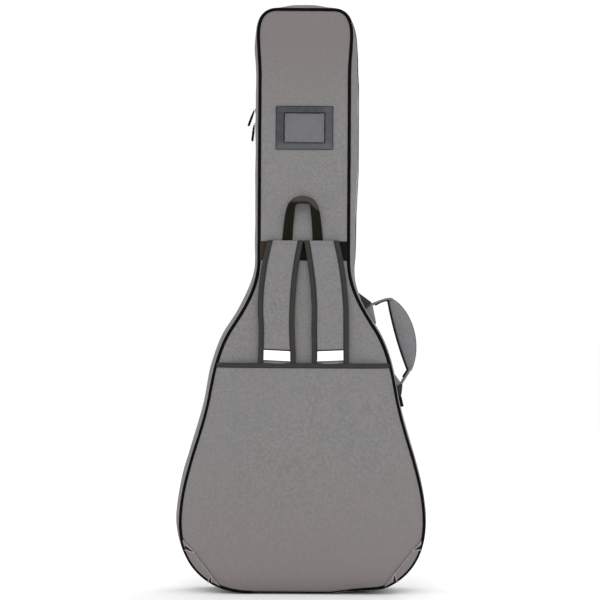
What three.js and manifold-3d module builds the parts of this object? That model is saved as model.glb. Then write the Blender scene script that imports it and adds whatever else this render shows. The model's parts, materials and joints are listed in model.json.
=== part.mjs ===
// Padded gig bag for a full-size acoustic guitar, standing upright on its base.
// Millimetres, +Z up, +X towards the carry handle, -Y towards the shoulder straps and +Y towards
// the lid. The origin is on the floor, under the middle of the bag.
import * as THREE from 'three';
import { mergeVertices } from 'three/addons/utils/BufferGeometryUtils.js';
import Module from 'manifold-3d';

const wasm = await Module();
wasm.setup();

// ---------------------------------------------------------------- driving dimensions
const GAP = 0.3; // clearance between neighbouring pieces
const BIG = 2000; // longer than anything it cuts

// Sewn edge of the shell, where panel, gusset and piping meet.
const SEAM_LIFT = 4; // height of the sewn edge over the floor
const BASE_HALF = 92; // half the flat width that the bag stands on
const BOUT_HALF = 223.5; // half the width of the lower bout
const BOUT_Z = 130;
const WAIST = { x: 170, z: 370 };
const SHOULDER = { x: 130, z: 490 };
const NECK_HALF = 82;
const NECK_Z = 620; // where the neck begins
const HEAD_HALF = 85.5;
const HEAD_Z = 1075;
const CURVE_STEPS = 7;

// Layers, measured outward from the middle of the shell.
const PANEL_FACE = 61.5; // outer face of the back and front panels
const SKIN = 1.2; // outer fabric
const FOAM = 10; // panel padding
const LINING = 0.6;
const PIPING_R = 2.5;
const PIPING_Y = 60;
const GUSSET_Y = PIPING_Y - PIPING_R - GAP; // where the gusset starts behind the piping
const GUSSET_OUT = SEAM_LIFT; // how far the gusset's skin stands outside the sewn edge
const GUSSET_FOAM = 6.5;
const ZIP_HALF = 6; // half the width of the zip that shows between the gusset halves
const PANEL_INSET = -(PIPING_R + GAP);

// The lid folds on a vertical line in the front panel, just right of the neck.
const FOLD_X = 106;

// Shoulder straps
const YOKE = { top: 649, bottom: 613.5, thick: 1.5 };
const STRAP = { top: 650, bottom: 427.5, near: 64, far: 73 };
const STRAP_BINDING = 4;
const REFLECTOR = { top: 448.5, bottom: 429.5, inner: 21, outer: 73, thick: 0.5 };

// Pocket on the back that swallows the straps' lower ends
const STOW = { top: 415.5, face: 75.5, rim: 4.3 };
const STOW_BINDING = { top: 425.2, near: 73.4, far: 76.6 };
const STRAP_AXIS_X = 49.5; // middle of a strap where it goes into the pocket

// Card holder on the neck
const CARD = { x: 52, top: 896.5, bottom: 818.2, windowX: 37.3, windowTop: 884.7, windowBottom: 829.6 };

// Hang loop
const LOOP = { half: 37.5, width: 18.5, height: 78, crown: 13.5, thick: 2.4, z: 654, lean: 7 };

// Carry handle on the right: the line between its anchors is the axis that it swings on.
const HANDLE_TOP = { x: 122, z: 535 };
const HANDLE_BOTTOM = { x: 181, z: 388 };
const GRIP_HALF = 11;
const HANDLE_WEB = { thick: 2.6, half: 10, endHalf: 4 };

// Pocket on the lid
const POCKET = { half: 92, top: 352, bottom: 72, radius: 34, face: 77 };

// Zip sliders
const SLIDER = { half: 5, length: 15, thick: 3.2 };
const PULLER = { radius: 1.7, length: 31 };

// ---------------------------------------------------------------- materials
function fabric(color) {
  return new THREE.MeshStandardMaterial({ color, roughness: 0.9, metalness: 0 });
}
const canvasMat = fabric(0x827f7d);
const gussetMat = fabric(0x8c8987);
const pipingMat = fabric(0x121013);
const webMat = fabric(0x3a3833);
const bindingMat = fabric(0x4b4d49);
const blackWebMat = fabric(0x1b1a1a);
const foamMat = fabric(0xd8d6d0);
const liningMat = fabric(0x5a5a5e);
const tapeMat = fabric(0x232226);
const reflectMat = fabric(0xe9ebf2);
const frameMat = new THREE.MeshStandardMaterial({ color: 0x4b4e52, roughness: 0.5, metalness: 0 });
const buckleMat = new THREE.MeshStandardMaterial({ color: 0x202022, roughness: 0.35, metalness: 0 });
const rubberMat = new THREE.MeshStandardMaterial({ color: 0x2a2a2c, roughness: 0.8, metalness: 0 });
const metalMat = new THREE.MeshStandardMaterial({ color: 0x9a9a9c, roughness: 0.3, metalness: 1 });
const paneMat = new THREE.MeshStandardMaterial({
  color: 0xc8ccd2, roughness: 0.1, metalness: 0, transparent: true, opacity: 0.35,
});

// ---------------------------------------------------------------- solids
function toSolid(geometry) {
  const bare = geometry.clone();
  bare.deleteAttribute('normal');
  bare.deleteAttribute('uv');
  const merged = mergeVertices(bare, 1e-4);
  return new wasm.Manifold(new wasm.Mesh({
    numProp: 3,
    vertProperties: new Float32Array(merged.attributes.position.array),
    triVerts: new Uint32Array(merged.index.array),
  }));
}

function fromSolid(solid) {
  const mesh = solid.getMesh();
  const geometry = new THREE.BufferGeometry();
  geometry.setAttribute('position', new THREE.BufferAttribute(mesh.vertProperties, 3));
  geometry.setIndex(new THREE.BufferAttribute(mesh.triVerts, 1));
  return geometry;
}

const keep = (a, b) => fromSolid(toSolid(a).intersect(toSolid(b)));
const join = (a, b) => fromSolid(toSolid(a).add(toSolid(b)));
const cut = (a, b) => fromSolid(toSolid(a).subtract(toSolid(b)));

// A box from its two corners.
function block([x0, y0, z0], [x1, y1, z1]) {
  const geometry = new THREE.BoxGeometry(x1 - x0, y1 - y0, z1 - z0);
  return geometry.translate((x0 + x1) / 2, (y0 + y1) / 2, (z0 + z1) / 2);
}

// A flat outline in X and Z with thickness from y0 to y1.
function plate(shape, y0, y1) {
  const geometry = new THREE.ExtrudeGeometry(shape, {
    depth: y1 - y0, bevelEnabled: false, curveSegments: 8,
  });
  return geometry.rotateX(Math.PI / 2).translate(0, y1, 0);
}

// ---------------------------------------------------------------- outline of the shell
// The right half of the sewn edge, from the middle of the base to the middle of the head.
function halfOutline() {
  const path = new THREE.Path();
  path.moveTo(0, SEAM_LIFT);
  path.lineTo(BASE_HALF, SEAM_LIFT);
  path.bezierCurveTo(165, SEAM_LIFT, BOUT_HALF, 55, BOUT_HALF, BOUT_Z);
  path.bezierCurveTo(BOUT_HALF, 215, 183, 290, WAIST.x, WAIST.z);
  path.bezierCurveTo(163, 408, 155, 452, SHOULDER.x, SHOULDER.z);
  path.bezierCurveTo(100, 535, 81, 572, NECK_HALF, NECK_Z);
  path.lineTo(NECK_HALF, 950);
  path.bezierCurveTo(NECK_HALF, 985, HEAD_HALF, 1005, HEAD_HALF, 1028);
  path.bezierCurveTo(HEAD_HALF, 1058, 76, HEAD_Z, 50, HEAD_Z);
  path.lineTo(0, HEAD_Z);
  return path.getPoints(CURVE_STEPS);
}

// The whole sewn edge, anticlockwise as seen with X to the right and Z up.
function wholeOutline() {
  const right = halfOutline();
  const left = right.slice(1, -1).reverse().map((point) => new THREE.Vector2(-point.x, point.y));
  return [...right, ...left];
}

// Moves a closed anticlockwise outline outward, keeping its sides parallel.
function offset(outline, distance) {
  const count = outline.length;
  const sideNormal = (from, to) => new THREE.Vector2(to.y - from.y, from.x - to.x).normalize();
  return outline.map((point, i) => {
    const before = sideNormal(outline[(i + count - 1) % count], point);
    const after = sideNormal(point, outline[(i + 1) % count]);
    const mitre = before.clone().add(after).divideScalar(1 + before.dot(after));
    return point.clone().addScaledVector(mitre, distance);
  });
}

// A closed ring along an outline. The profile's corners are [outward, y], anticlockwise.
function ring(outline, profile) {
  const count = outline.length;
  const positions = profile.flatMap(([outward, y]) =>
    offset(outline, outward).flatMap((point) => [point.x, y, point.y]));
  const index = [];
  profile.forEach((corner, k) => {
    const here = k * count;
    const next = ((k + 1) % profile.length) * count;
    for (let i = 0; i < count; i += 1) {
      const j = (i + 1) % count;
      index.push(here + i, next + i, next + j, here + i, next + j, here + j);
    }
  });
  const geometry = new THREE.BufferGeometry();
  geometry.setAttribute('position', new THREE.Float32BufferAttribute(positions, 3));
  geometry.setIndex(index);
  return geometry;
}

const bandProfile = (o0, o1, y0, y1) => [[o0, y0], [o1, y0], [o1, y1], [o0, y1]];

function roundProfile(radius, y, sides) {
  return Array.from({ length: sides }, (_, k) => {
    const angle = (2 * Math.PI * (k + 0.5)) / sides;
    return [radius * Math.cos(angle), y + radius * Math.sin(angle)];
  });
}

const shell = wholeOutline();
const shellPlate = (outward, y0, y1) => plate(new THREE.Shape(offset(shell, outward)), y0, y1);

// Everything left of the fold belongs to the lid, and everything right of it stays on the shell.
const leftOfFold = block([-BIG, -BIG, -BIG], [FOLD_X - GAP, BIG, BIG]);
const rightOfFold = block([FOLD_X + GAP, -BIG, -BIG], [BIG, BIG, BIG]);

// ---------------------------------------------------------------- scene graph
const group = new THREE.Group();
const shellGroup = new THREE.Group();
const lidGroup = new THREE.Group();
group.add(shellGroup, lidGroup);

function add(parent, name, geometry, material) {
  const mesh = new THREE.Mesh(geometry, material);
  mesh.name = name;
  parent.add(mesh);
  return mesh;
}

// ---------------------------------------------------------------- panels
// side is -1 for the back panel and +1 for the front. Each layer lies behind the one before it.
function panelLayers(side) {
  const layer = (outward, from, thick) => {
    const outer = side * from;
    const inner = side * (from - thick);
    return shellPlate(outward, Math.min(outer, inner), Math.max(outer, inner));
  };
  const foamFace = PANEL_FACE - SKIN - GAP;
  const liningFace = foamFace - FOAM - GAP;
  const inset = GUSSET_OUT - SKIN - GAP - GUSSET_FOAM - GAP;
  return {
    skin: layer(PANEL_INSET, PANEL_FACE, SKIN),
    foam: layer(inset, foamFace, FOAM),
    lining: layer(inset, liningFace, LINING),
    innerFace: liningFace - LINING,
  };
}

const back = panelLayers(-1);
const front = panelLayers(1);
const INNER_Y = back.innerFace;

add(shellGroup, 'back_panel', back.skin, canvasMat);
add(shellGroup, 'back_foam', back.foam, foamMat);
add(shellGroup, 'back_lining', back.lining, liningMat);
add(shellGroup, 'front_side_panel', keep(front.skin, rightOfFold), canvasMat);
add(shellGroup, 'front_side_foam', keep(front.foam, rightOfFold), foamMat);
add(shellGroup, 'front_side_lining', keep(front.lining, rightOfFold), liningMat);
add(lidGroup, 'lid_panel', keep(front.skin, leftOfFold), canvasMat);
add(lidGroup, 'lid_foam', keep(front.foam, leftOfFold), foamMat);
add(lidGroup, 'lid_lining', keep(front.lining, leftOfFold), liningMat);

// ---------------------------------------------------------------- gusset
// The gusset's three layers between two depths.
function gussetLayers(y0, y1) {
  const skinInner = GUSSET_OUT - SKIN;
  const foamOuter = skinInner - GAP;
  const foamInner = foamOuter - GUSSET_FOAM;
  const liningY0 = Math.max(y0, -INNER_Y + GAP);
  const liningY1 = Math.min(y1, INNER_Y - GAP);
  return {
    skin: ring(shell, bandProfile(skinInner, GUSSET_OUT, y0, y1)),
    foam: ring(shell, bandProfile(foamInner, foamOuter, y0, y1)),
    lining: ring(shell, bandProfile(foamInner - GAP - LINING, foamInner - GAP, liningY0, liningY1)),
  };
}

const backHalf = gussetLayers(-GUSSET_Y, -ZIP_HALF - GAP);
const frontHalf = gussetLayers(ZIP_HALF + GAP, GUSSET_Y);
const spine = gussetLayers(-GUSSET_Y, GUSSET_Y);

add(shellGroup, 'back_gusset', keep(backHalf.skin, leftOfFold), gussetMat);
add(shellGroup, 'back_gusset_foam', keep(backHalf.foam, leftOfFold), foamMat);
add(shellGroup, 'back_gusset_lining', keep(backHalf.lining, leftOfFold), liningMat);
add(shellGroup, 'spine_gusset', keep(spine.skin, rightOfFold), gussetMat);
add(shellGroup, 'spine_gusset_foam', keep(spine.foam, rightOfFold), foamMat);
add(shellGroup, 'spine_gusset_lining', keep(spine.lining, rightOfFold), liningMat);
add(lidGroup, 'lid_gusset', keep(frontHalf.skin, leftOfFold), gussetMat);
add(lidGroup, 'lid_gusset_foam', keep(frontHalf.foam, leftOfFold), foamMat);
add(lidGroup, 'lid_gusset_lining', keep(frontHalf.lining, leftOfFold), liningMat);

// ---------------------------------------------------------------- piping
const PIPING_SIDES = 6;
const frontPiping = ring(shell, roundProfile(PIPING_R, PIPING_Y, PIPING_SIDES));
add(shellGroup, 'back_piping', ring(shell, roundProfile(PIPING_R, -PIPING_Y, PIPING_SIDES)), pipingMat);
add(shellGroup, 'front_side_piping', keep(frontPiping, rightOfFold), pipingMat);
add(lidGroup, 'lid_piping', keep(frontPiping, leftOfFold), pipingMat);

// ---------------------------------------------------------------- main zip
// Each tape carries half of the coil along the edge where the two meet.
const TAPE = { in: 1, out: 2, coil: GUSSET_OUT - 1.4, coilWidth: 2.8 };

function zipTape(side) {
  const corners = [
    [TAPE.in, -ZIP_HALF],
    [TAPE.out, -ZIP_HALF],
    [TAPE.out, -TAPE.coilWidth],
    [TAPE.coil, -TAPE.coilWidth],
    [TAPE.coil, -GAP / 2],
    [TAPE.in, -GAP / 2],
  ];
  const profile = side < 0 ? corners : corners.map(([outward, y]) => [outward, -y]).reverse();
  return keep(ring(shell, profile), leftOfFold);
}

add(shellGroup, 'zip_tape_back', zipTape(-1), tapeMat);
add(lidGroup, 'zip_tape_lid', zipTape(1), tapeMat);

// A slider lies flat, with its travel along +X and its bail towards +Z. Its underside is at z = 0.
function sliderBody() {
  const shape = new THREE.Shape();
  const tail = SLIDER.half * 0.62;
  shape.moveTo(-SLIDER.length / 2, -tail);
  shape.lineTo(0, -tail);
  shape.lineTo(SLIDER.length / 2, -SLIDER.half);
  shape.lineTo(SLIDER.length / 2, SLIDER.half);
  shape.lineTo(0, tail);
  shape.lineTo(-SLIDER.length / 2, tail);
  const body = new THREE.ExtrudeGeometry(shape, { depth: SLIDER.thick, bevelEnabled: false });
  const bail = block([-3.5, -1.2, SLIDER.thick - 0.5], [3.5, 1.2, SLIDER.thick + 2.4]);
  return join(body, bail);
}

// A puller hangs along -Z from its own top, beside the bail.
function pullerCord() {
  const cord = new THREE.CylinderGeometry(PULLER.radius, PULLER.radius, PULLER.length, 8);
  return cord.rotateX(Math.PI / 2).translate(0, 0, -PULLER.length / 2);
}

const SLIDER_OUT = GUSSET_OUT + 0.3; // the sliders run just clear of the gusset's skin
const PULLER_OUT = SLIDER.thick + 2.6 + PULLER.radius; // from the slider's underside
const PULLER_ASIDE = 3.2;

// Sliders on the left of the neck. up is 1 where a slider opens upward and -1 where it opens downward.
// Each puller hangs on its own side of the bail, so that the two can pass each other.
function neckSlider(name, z, up, lean) {
  const slider = new THREE.Group();
  slider.position.set(-(NECK_HALF + SLIDER_OUT), 0, z);
  const body = add(slider, `${name}_slider`, sliderBody(), metalMat);
  body.rotation.set(up > 0 ? 0 : Math.PI, -Math.PI / 2, 0);
  const puller = add(slider, `${name}_puller`, pullerCord(), blackWebMat);
  puller.position.set(-PULLER_OUT, -up * PULLER_ASIDE, 0);
  puller.rotation.y = THREE.MathUtils.degToRad(lean);
  shellGroup.add(slider);
}

neckSlider('upper', 893, 1, 20);
neckSlider('lower', 867, -1, 6);

// ---------------------------------------------------------------- yoke, straps and hang loop
function yokeBand() {
  const band = block([-BIG, -BIG, YOKE.bottom], [BIG, BIG, YOKE.top]);
  const near = PANEL_FACE + GAP;
  return keep(shellPlate(PANEL_INSET - GAP, -near - YOKE.thick, -near), band);
}

add(shellGroup, 'yoke_band', yokeBand(), webMat);

// Outline of a strap, drawn for the right side. It spreads as it goes down.
function strapShape(inset) {
  const shape = new THREE.Shape();
  shape.moveTo(2 + inset, STRAP.top);
  shape.quadraticCurveTo(15 + inset, 560, 14.7 + inset, STRAP.bottom + inset);
  shape.lineTo(84.3 - inset, STRAP.bottom + inset);
  shape.quadraticCurveTo(81.5 - inset, 570, 66 - inset, STRAP.top);
  return shape;
}

function mirrored(geometry, side) {
  return side > 0 ? geometry : fromSolid(toSolid(geometry).mirror([1, 0, 0]));
}

function strap(side, suffix) {
  const parent = new THREE.Group();
  const pad = plate(strapShape(STRAP_BINDING), -STRAP.far, -STRAP.near);
  const trimmed = block([-BIG, -BIG, STRAP.bottom], [BIG, BIG, STRAP.top]);
  const outer = plate(strapShape(0), -STRAP.far + 0.8, -STRAP.near - 0.8);
  const hollow = plate(strapShape(STRAP_BINDING - GAP), -BIG, BIG);
  const binding = keep(cut(outer, hollow), trimmed);
  const { inner, outer: far, top, bottom, thick } = REFLECTOR;
  const face = STRAP.far + GAP;
  const reflector = block([inner, -face - thick, bottom], [far, -face, top]);
  add(parent, `strap_pad_${suffix}`, mirrored(pad, side), canvasMat);
  add(parent, `strap_binding_${suffix}`, mirrored(binding, side), bindingMat);
  add(parent, `strap_reflector_${suffix}`, mirrored(reflector, side), reflectMat);
  return parent;
}

group.add(strap(-1, 'left'), strap(1, 'right'));

// Loop of webbing, drawn upright from its own base line.
function hangLoop() {
  const shape = new THREE.Shape();
  const shoulder = LOOP.height - 24;
  shape.moveTo(-LOOP.half, 0);
  shape.lineTo(-LOOP.half + LOOP.width, 0);
  shape.lineTo(-LOOP.half + LOOP.width + 4, shoulder);
  shape.quadraticCurveTo(-12, LOOP.height - LOOP.crown, 0, LOOP.height - LOOP.crown);
  shape.quadraticCurveTo(12, LOOP.height - LOOP.crown, LOOP.half - LOOP.width - 4, shoulder);
  shape.lineTo(LOOP.half - LOOP.width, 0);
  shape.lineTo(LOOP.half, 0);
  shape.lineTo(LOOP.half - 4, shoulder);
  shape.quadraticCurveTo(LOOP.half - 6, LOOP.height, 0, LOOP.height);
  shape.quadraticCurveTo(-LOOP.half + 6, LOOP.height, -LOOP.half + 4, shoulder);
  return plate(shape, -LOOP.thick, 0);
}

const loop = add(group, 'hang_loop', hangLoop(), blackWebMat);
loop.position.set(0, -(PANEL_FACE + 0.8), LOOP.z);
loop.rotation.x = THREE.MathUtils.degToRad(LOOP.lean);

// ---------------------------------------------------------------- card holder
function cardFrame() {
  const shape = new THREE.Shape();
  shape.moveTo(-CARD.x, CARD.bottom);
  shape.lineTo(CARD.x, CARD.bottom);
  shape.lineTo(CARD.x, CARD.top);
  shape.lineTo(-CARD.x, CARD.top);
  const window = new THREE.Path();
  window.moveTo(-CARD.windowX, CARD.windowBottom);
  window.lineTo(-CARD.windowX, CARD.windowTop);
  window.lineTo(CARD.windowX, CARD.windowTop);
  window.lineTo(CARD.windowX, CARD.windowBottom);
  shape.holes.push(window);
  return plate(shape, -PANEL_FACE - 2, -PANEL_FACE - 0.9);
}

function cardPane() {
  const margin = 6;
  return block(
    [-CARD.windowX - margin, -PANEL_FACE - 0.6, CARD.windowBottom - margin],
    [CARD.windowX + margin, -PANEL_FACE - GAP, CARD.windowTop + margin],
  );
}

add(shellGroup, 'card_frame', cardFrame(), frameMat);
add(shellGroup, 'card_pane', cardPane(), paneMat);

// ---------------------------------------------------------------- stow pocket
// One panel with a shallow rim along the sewn edge, open at the top.
function stowPanel() {
  const wall = ring(shell, bandProfile(-STOW.rim - SKIN, -STOW.rim, -STOW.face, -PANEL_FACE - GAP));
  const face = shellPlate(-STOW.rim - SKIN / 2, -STOW.face, -STOW.face + SKIN);
  return keep(join(wall, face), block([-BIG, -BIG, -BIG], [BIG, BIG, STOW.top]));
}

function stowBinding() {
  const span = block([-BIG, -BIG, STOW.top + GAP], [BIG, BIG, STOW_BINDING.top]);
  return keep(shellPlate(-STOW.rim, -STOW_BINDING.far, -STOW_BINDING.near), span);
}

// Patch over a lower corner of the pocket, cut off by a shallow curve.
function cornerPatch(side) {
  const shape = new THREE.Shape();
  shape.moveTo(218.6, 99);
  shape.quadraticCurveTo(170, 58, 150.6, 8);
  shape.lineTo(230, 0);
  shape.lineTo(260, 99);
  const near = STOW.face + GAP;
  const patch = keep(plate(shape, -near - 0.8, -near), shellPlate(-STOW.rim, -BIG, BIG));
  return mirrored(patch, side);
}

// The strap's lower end: a ladder lock, and below it webbing that lies in the pocket.
function ladderLock(side) {
  const x = side * STRAP_AXIS_X;
  const width = 17;
  const shape = new THREE.Shape();
  shape.moveTo(x - width, 388);
  shape.lineTo(x + width, 388);
  shape.lineTo(x + width, 424);
  shape.lineTo(x - width, 424);
  [394, 409].forEach((z) => {
    const slot = new THREE.Path();
    slot.moveTo(x - 13, z);
    slot.lineTo(x - 13, z + 8);
    slot.lineTo(x + 13, z + 8);
    slot.lineTo(x + 13, z);
    shape.holes.push(slot);
  });
  return plate(shape, -71.5, -67.5);
}

function stowedWebbing(side) {
  const x = side * STRAP_AXIS_X;
  return block([x - 12.5, -70.5, 205], [x + 12.5, -68.5, 388 - GAP]);
}

add(shellGroup, 'stow_pocket', stowPanel(), canvasMat);
add(shellGroup, 'stow_binding', stowBinding(), bindingMat);
[[-1, 'left'], [1, 'right']].forEach(([side, suffix]) => {
  add(shellGroup, `corner_patch_${suffix}`, cornerPatch(side), canvasMat);
  add(shellGroup, `ladder_lock_${suffix}`, ladderLock(side), buckleMat);
  add(shellGroup, `stowed_webbing_${suffix}`, stowedWebbing(side), blackWebMat);
});

// ---------------------------------------------------------------- carry handle
function polygon(corners) {
  return new THREE.Shape(corners.map(([x, z]) => new THREE.Vector2(x, z)));
}

// Sewn tabs that end just short of the handle's axis.
function handleAnchor(corners, half) {
  return cut(plate(polygon(corners), -half, half), shellPlate(GUSSET_OUT + GAP, -BIG, BIG));
}

const ANCHOR_HALF = 9;
const upperCorners = [[92, 566], [88, 530], [112, 526], [121, 538]];
const lowerCorners = [[160, 384], [160, 346], [180.5, 346], [179.5, 366], [177, 385]];
add(shellGroup, 'handle_anchor_upper', handleAnchor(upperCorners, ANCHOR_HALF), bindingMat);
add(shellGroup, 'handle_anchor_lower', handleAnchor(lowerCorners, ANCHOR_HALF), bindingMat);

// A strip of even thickness along a curve in X and Z.
function strip(points, thick, y0, y1) {
  const curve = new THREE.SplineCurve(points.map(([x, z]) => new THREE.Vector2(x, z)));
  const steps = 24;
  const sides = [[], []];
  for (let i = 0; i <= steps; i += 1) {
    const at = curve.getPoint(i / steps);
    const along = curve.getTangent(i / steps);
    const across = new THREE.Vector2(-along.y, along.x).multiplyScalar(thick / 2);
    sides[0].push(at.clone().add(across));
    sides[1].push(at.clone().sub(across));
  }
  return plate(new THREE.Shape([...sides[0], ...sides[1].reverse()]), y0, y1);
}

const WEB_ROUTE = [
  [HANDLE_TOP.x + 4, HANDLE_TOP.z + 1.5],
  [160, 543],
  [181, 516],
  [193, 470],
  [197.5, 413],
  [HANDLE_BOTTOM.x + 3, HANDLE_BOTTOM.z + 2],
];

// The webbing is folded narrow at its ends, where it turns in the anchors.
function handleWebbing() {
  const { thick, half, endHalf } = HANDLE_WEB;
  const narrow = strip(WEB_ROUTE, thick, -endHalf, endHalf);
  const middle = plate(polygon([[141, 570], [230, 570], [230, 404], [150, 404]]), -half, half);
  return join(narrow, keep(strip(WEB_ROUTE, thick, -half, half), middle));
}

// Crescent of padding wrapped round the webbing.
function handleGrip() {
  const shape = new THREE.Shape();
  shape.moveTo(158.5, 539);
  shape.lineTo(162, 546);
  shape.bezierCurveTo(196, 530, 222, 470, 201, 413);
  shape.lineTo(194, 413);
  shape.quadraticCurveTo(170, 482, 158.5, 539);
  const channel = strip(WEB_ROUTE, HANDLE_WEB.thick + 2 * GAP, -HANDLE_WEB.half - GAP, HANDLE_WEB.half + GAP);
  return cut(plate(shape, -GRIP_HALF, GRIP_HALF), channel);
}

const handleGroup = new THREE.Group();
add(handleGroup, 'handle_webbing', handleWebbing(), webMat);
add(handleGroup, 'handle_grip', handleGrip(), canvasMat);
group.add(handleGroup);

// ---------------------------------------------------------------- lid pocket
function pocketOutline() {
  const { half, top, bottom, radius } = POCKET;
  const path = new THREE.Path();
  path.moveTo(0, bottom);
  path.absarc(half - radius, bottom + radius, radius, -Math.PI / 2, 0);
  path.absarc(half - radius, top - radius, radius, 0, Math.PI / 2);
  path.absarc(-half + radius, top - radius, radius, Math.PI / 2, Math.PI);
  path.absarc(-half + radius, bottom + radius, radius, Math.PI, 1.5 * Math.PI);
  return path.getPoints(3);
}

const pocket = pocketOutline();
const pocketEdge = POCKET.face - SKIN - GAP;

function pocketZip() {
  const reach = POCKET.half - POCKET.radius;
  const z = POCKET.top + SKIN + GAP;
  return block([-reach, 65, z], [reach, 71, z + 1.2]);
}

add(lidGroup, 'pocket_gusset', ring(pocket, bandProfile(0, SKIN, PANEL_FACE + GAP, pocketEdge)), gussetMat);
add(lidGroup, 'pocket_panel', plate(new THREE.Shape(pocket), pocketEdge + GAP, POCKET.face), canvasMat);
add(lidGroup, 'pocket_piping', ring(pocket, roundProfile(1.6, pocketEdge, PIPING_SIDES).map(
  ([outward, y]) => [outward + SKIN + 2, y])), pipingMat);
add(lidGroup, 'pocket_zip_tape', pocketZip(), tapeMat);

const pocketSlider = new THREE.Group();
pocketSlider.position.set(POCKET.half - POCKET.radius - SLIDER.length, 68, POCKET.top + SKIN + 1.2 + 2 * GAP);
add(pocketSlider, 'pocket_slider', sliderBody(), metalMat);
const pocketPuller = add(pocketSlider, 'pocket_puller', pullerCord(), blackWebMat);
pocketPuller.position.set(-4, 0, PULLER_OUT);
pocketPuller.rotation.set(0, Math.PI / 2, 0);
lidGroup.add(pocketSlider);

// ---------------------------------------------------------------- inside
// A block on the back lining with a groove that carries the guitar's neck, and its closing strap.
const CRADLE = { half: 52, far: 10, z0: 780, z1: 862, groove: 27, depth: 20 };

function neckCradle() {
  const near = INNER_Y - GAP;
  const shape = new THREE.Shape();
  shape.moveTo(-CRADLE.half, -near);
  shape.lineTo(CRADLE.half, -near);
  shape.lineTo(CRADLE.half, -CRADLE.far);
  shape.lineTo(CRADLE.groove, -CRADLE.far);
  shape.quadraticCurveTo(CRADLE.groove, -CRADLE.far - CRADLE.depth, 0, -CRADLE.far - CRADLE.depth);
  shape.quadraticCurveTo(-CRADLE.groove, -CRADLE.far - CRADLE.depth, -CRADLE.groove, -CRADLE.far);
  shape.lineTo(-CRADLE.half, -CRADLE.far);
  const geometry = new THREE.ExtrudeGeometry(shape, {
    depth: CRADLE.z1 - CRADLE.z0, bevelEnabled: false, curveSegments: 5,
  });
  return geometry.translate(0, 0, CRADLE.z0);
}

add(shellGroup, 'neck_cradle', neckCradle(), liningMat);
add(shellGroup, 'neck_strap', block([-50, -CRADLE.far + GAP, 806], [50, -CRADLE.far + 2, 836]), blackWebMat);

// Pad that takes the guitar's end pin, on the inside of the base.
const padBase = SEAM_LIFT + GUSSET_FOAM + 1;
add(shellGroup, 'end_pin_pad', block([-45, -40, padBase], [45, -4, padBase + 4]), rubberMat);

export default group;
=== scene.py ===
"""Looks of the padded gig bag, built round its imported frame. Metres, in the frame's own axes.

The shell's fabric, piping, zip and lining follow one outline, the sewn edge. Panels lie in X and Z,
and the gusset runs along the outline from the back (-Y) to the lid (+Y). A flat point or direction
has only X and Z.
"""

import json
import math

import bmesh
import bpy
import numpy as np
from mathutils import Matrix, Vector, kdtree, noise


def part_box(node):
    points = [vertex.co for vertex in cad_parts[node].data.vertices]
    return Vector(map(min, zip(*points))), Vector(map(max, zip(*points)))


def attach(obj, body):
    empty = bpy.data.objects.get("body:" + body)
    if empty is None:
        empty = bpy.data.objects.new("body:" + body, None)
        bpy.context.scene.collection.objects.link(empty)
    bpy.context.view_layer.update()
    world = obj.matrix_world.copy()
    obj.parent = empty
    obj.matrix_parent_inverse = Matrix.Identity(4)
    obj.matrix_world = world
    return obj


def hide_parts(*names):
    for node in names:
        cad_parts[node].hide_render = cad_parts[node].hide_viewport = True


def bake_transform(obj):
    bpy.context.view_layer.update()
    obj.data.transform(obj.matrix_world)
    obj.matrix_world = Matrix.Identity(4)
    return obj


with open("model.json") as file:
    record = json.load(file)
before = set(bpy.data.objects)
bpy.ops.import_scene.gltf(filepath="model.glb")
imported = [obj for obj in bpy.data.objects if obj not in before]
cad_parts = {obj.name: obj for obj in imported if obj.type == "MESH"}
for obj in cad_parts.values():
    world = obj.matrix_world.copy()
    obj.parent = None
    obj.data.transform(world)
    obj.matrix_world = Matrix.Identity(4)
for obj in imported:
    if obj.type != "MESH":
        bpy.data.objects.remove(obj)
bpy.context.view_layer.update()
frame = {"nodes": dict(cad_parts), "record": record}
NODES = frame["nodes"]

# ---- sizes, in metres
SEAM_LIFT = 0.004  # the sewn edge stands this high over the floor
BASE_HALF = 0.092
BOUT = (0.2235, 0.130)
WAIST = (0.170, 0.370)
SHOULDER = (0.130, 0.490)
NECK = (0.082, 0.620)
NECK_TOP = (0.082, 0.950)
HEAD = (0.0855, 1.028)
HEAD_CORNER = (0.050, 1.075)

FABRIC = 0.0011  # thickness of the outer fabric
PIPING_R = 0.0031
PIPING_Y = 0.060
EDGE_Y = 0.0603  # where a panel's fabric goes under the piping
GUSSET_Y = 0.0578
ZIP_HALF = 0.006
FOLD_X = 0.106
FOLD_SPAN = 0.009  # half the width that bends where the lid folds
LINING_Y = 0.0484

STRAP_TOP = 0.650
POCKET_TOP = 0.4155  # top of the stow pocket's panel, under its binding
BINDING_TOP = 0.4252
TUCK_Z = 0.392  # how far down the straps reach inside the pocket
BOW = (0.428, 0.600)  # a lifted strap bows out between these heights
BACKWARDS = (0, -1, 0)


# ---- small maths
def smooth(low, high, value):
    t = np.clip((np.asarray(value, float) - low) / (high - low), 0, 1)
    return t * t * (3 - 2 * t)


def ripple(points, scale, seed):
    """Smooth noise from -1 to 1 at each point, with bumps about scale metres across."""
    offset = Vector((seed * 3.1, seed * 1.7, seed * 2.3))
    flat = np.asarray(points, float).reshape(-1, 3) / scale
    values = [noise.noise(Vector(p) + offset) for p in flat]
    return np.array(values).reshape(np.shape(points)[:-1])


def xyz(x, y, z):
    """Points from their coordinates. A single number counts for every point."""
    return np.stack(np.broadcast_arrays(x, y, z), axis=-1).astype(float)


def at_depth(flat, y=0.0):
    """Flat points or directions, with their Y."""
    return xyz(flat[..., 0], y, flat[..., 1])


def laid(line, surface, lift):
    """A flat line laid on a surface, lift towards the viewer of the back."""
    return at_depth(line, surface(line[:, 0], line[:, 1]) - lift)


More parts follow.
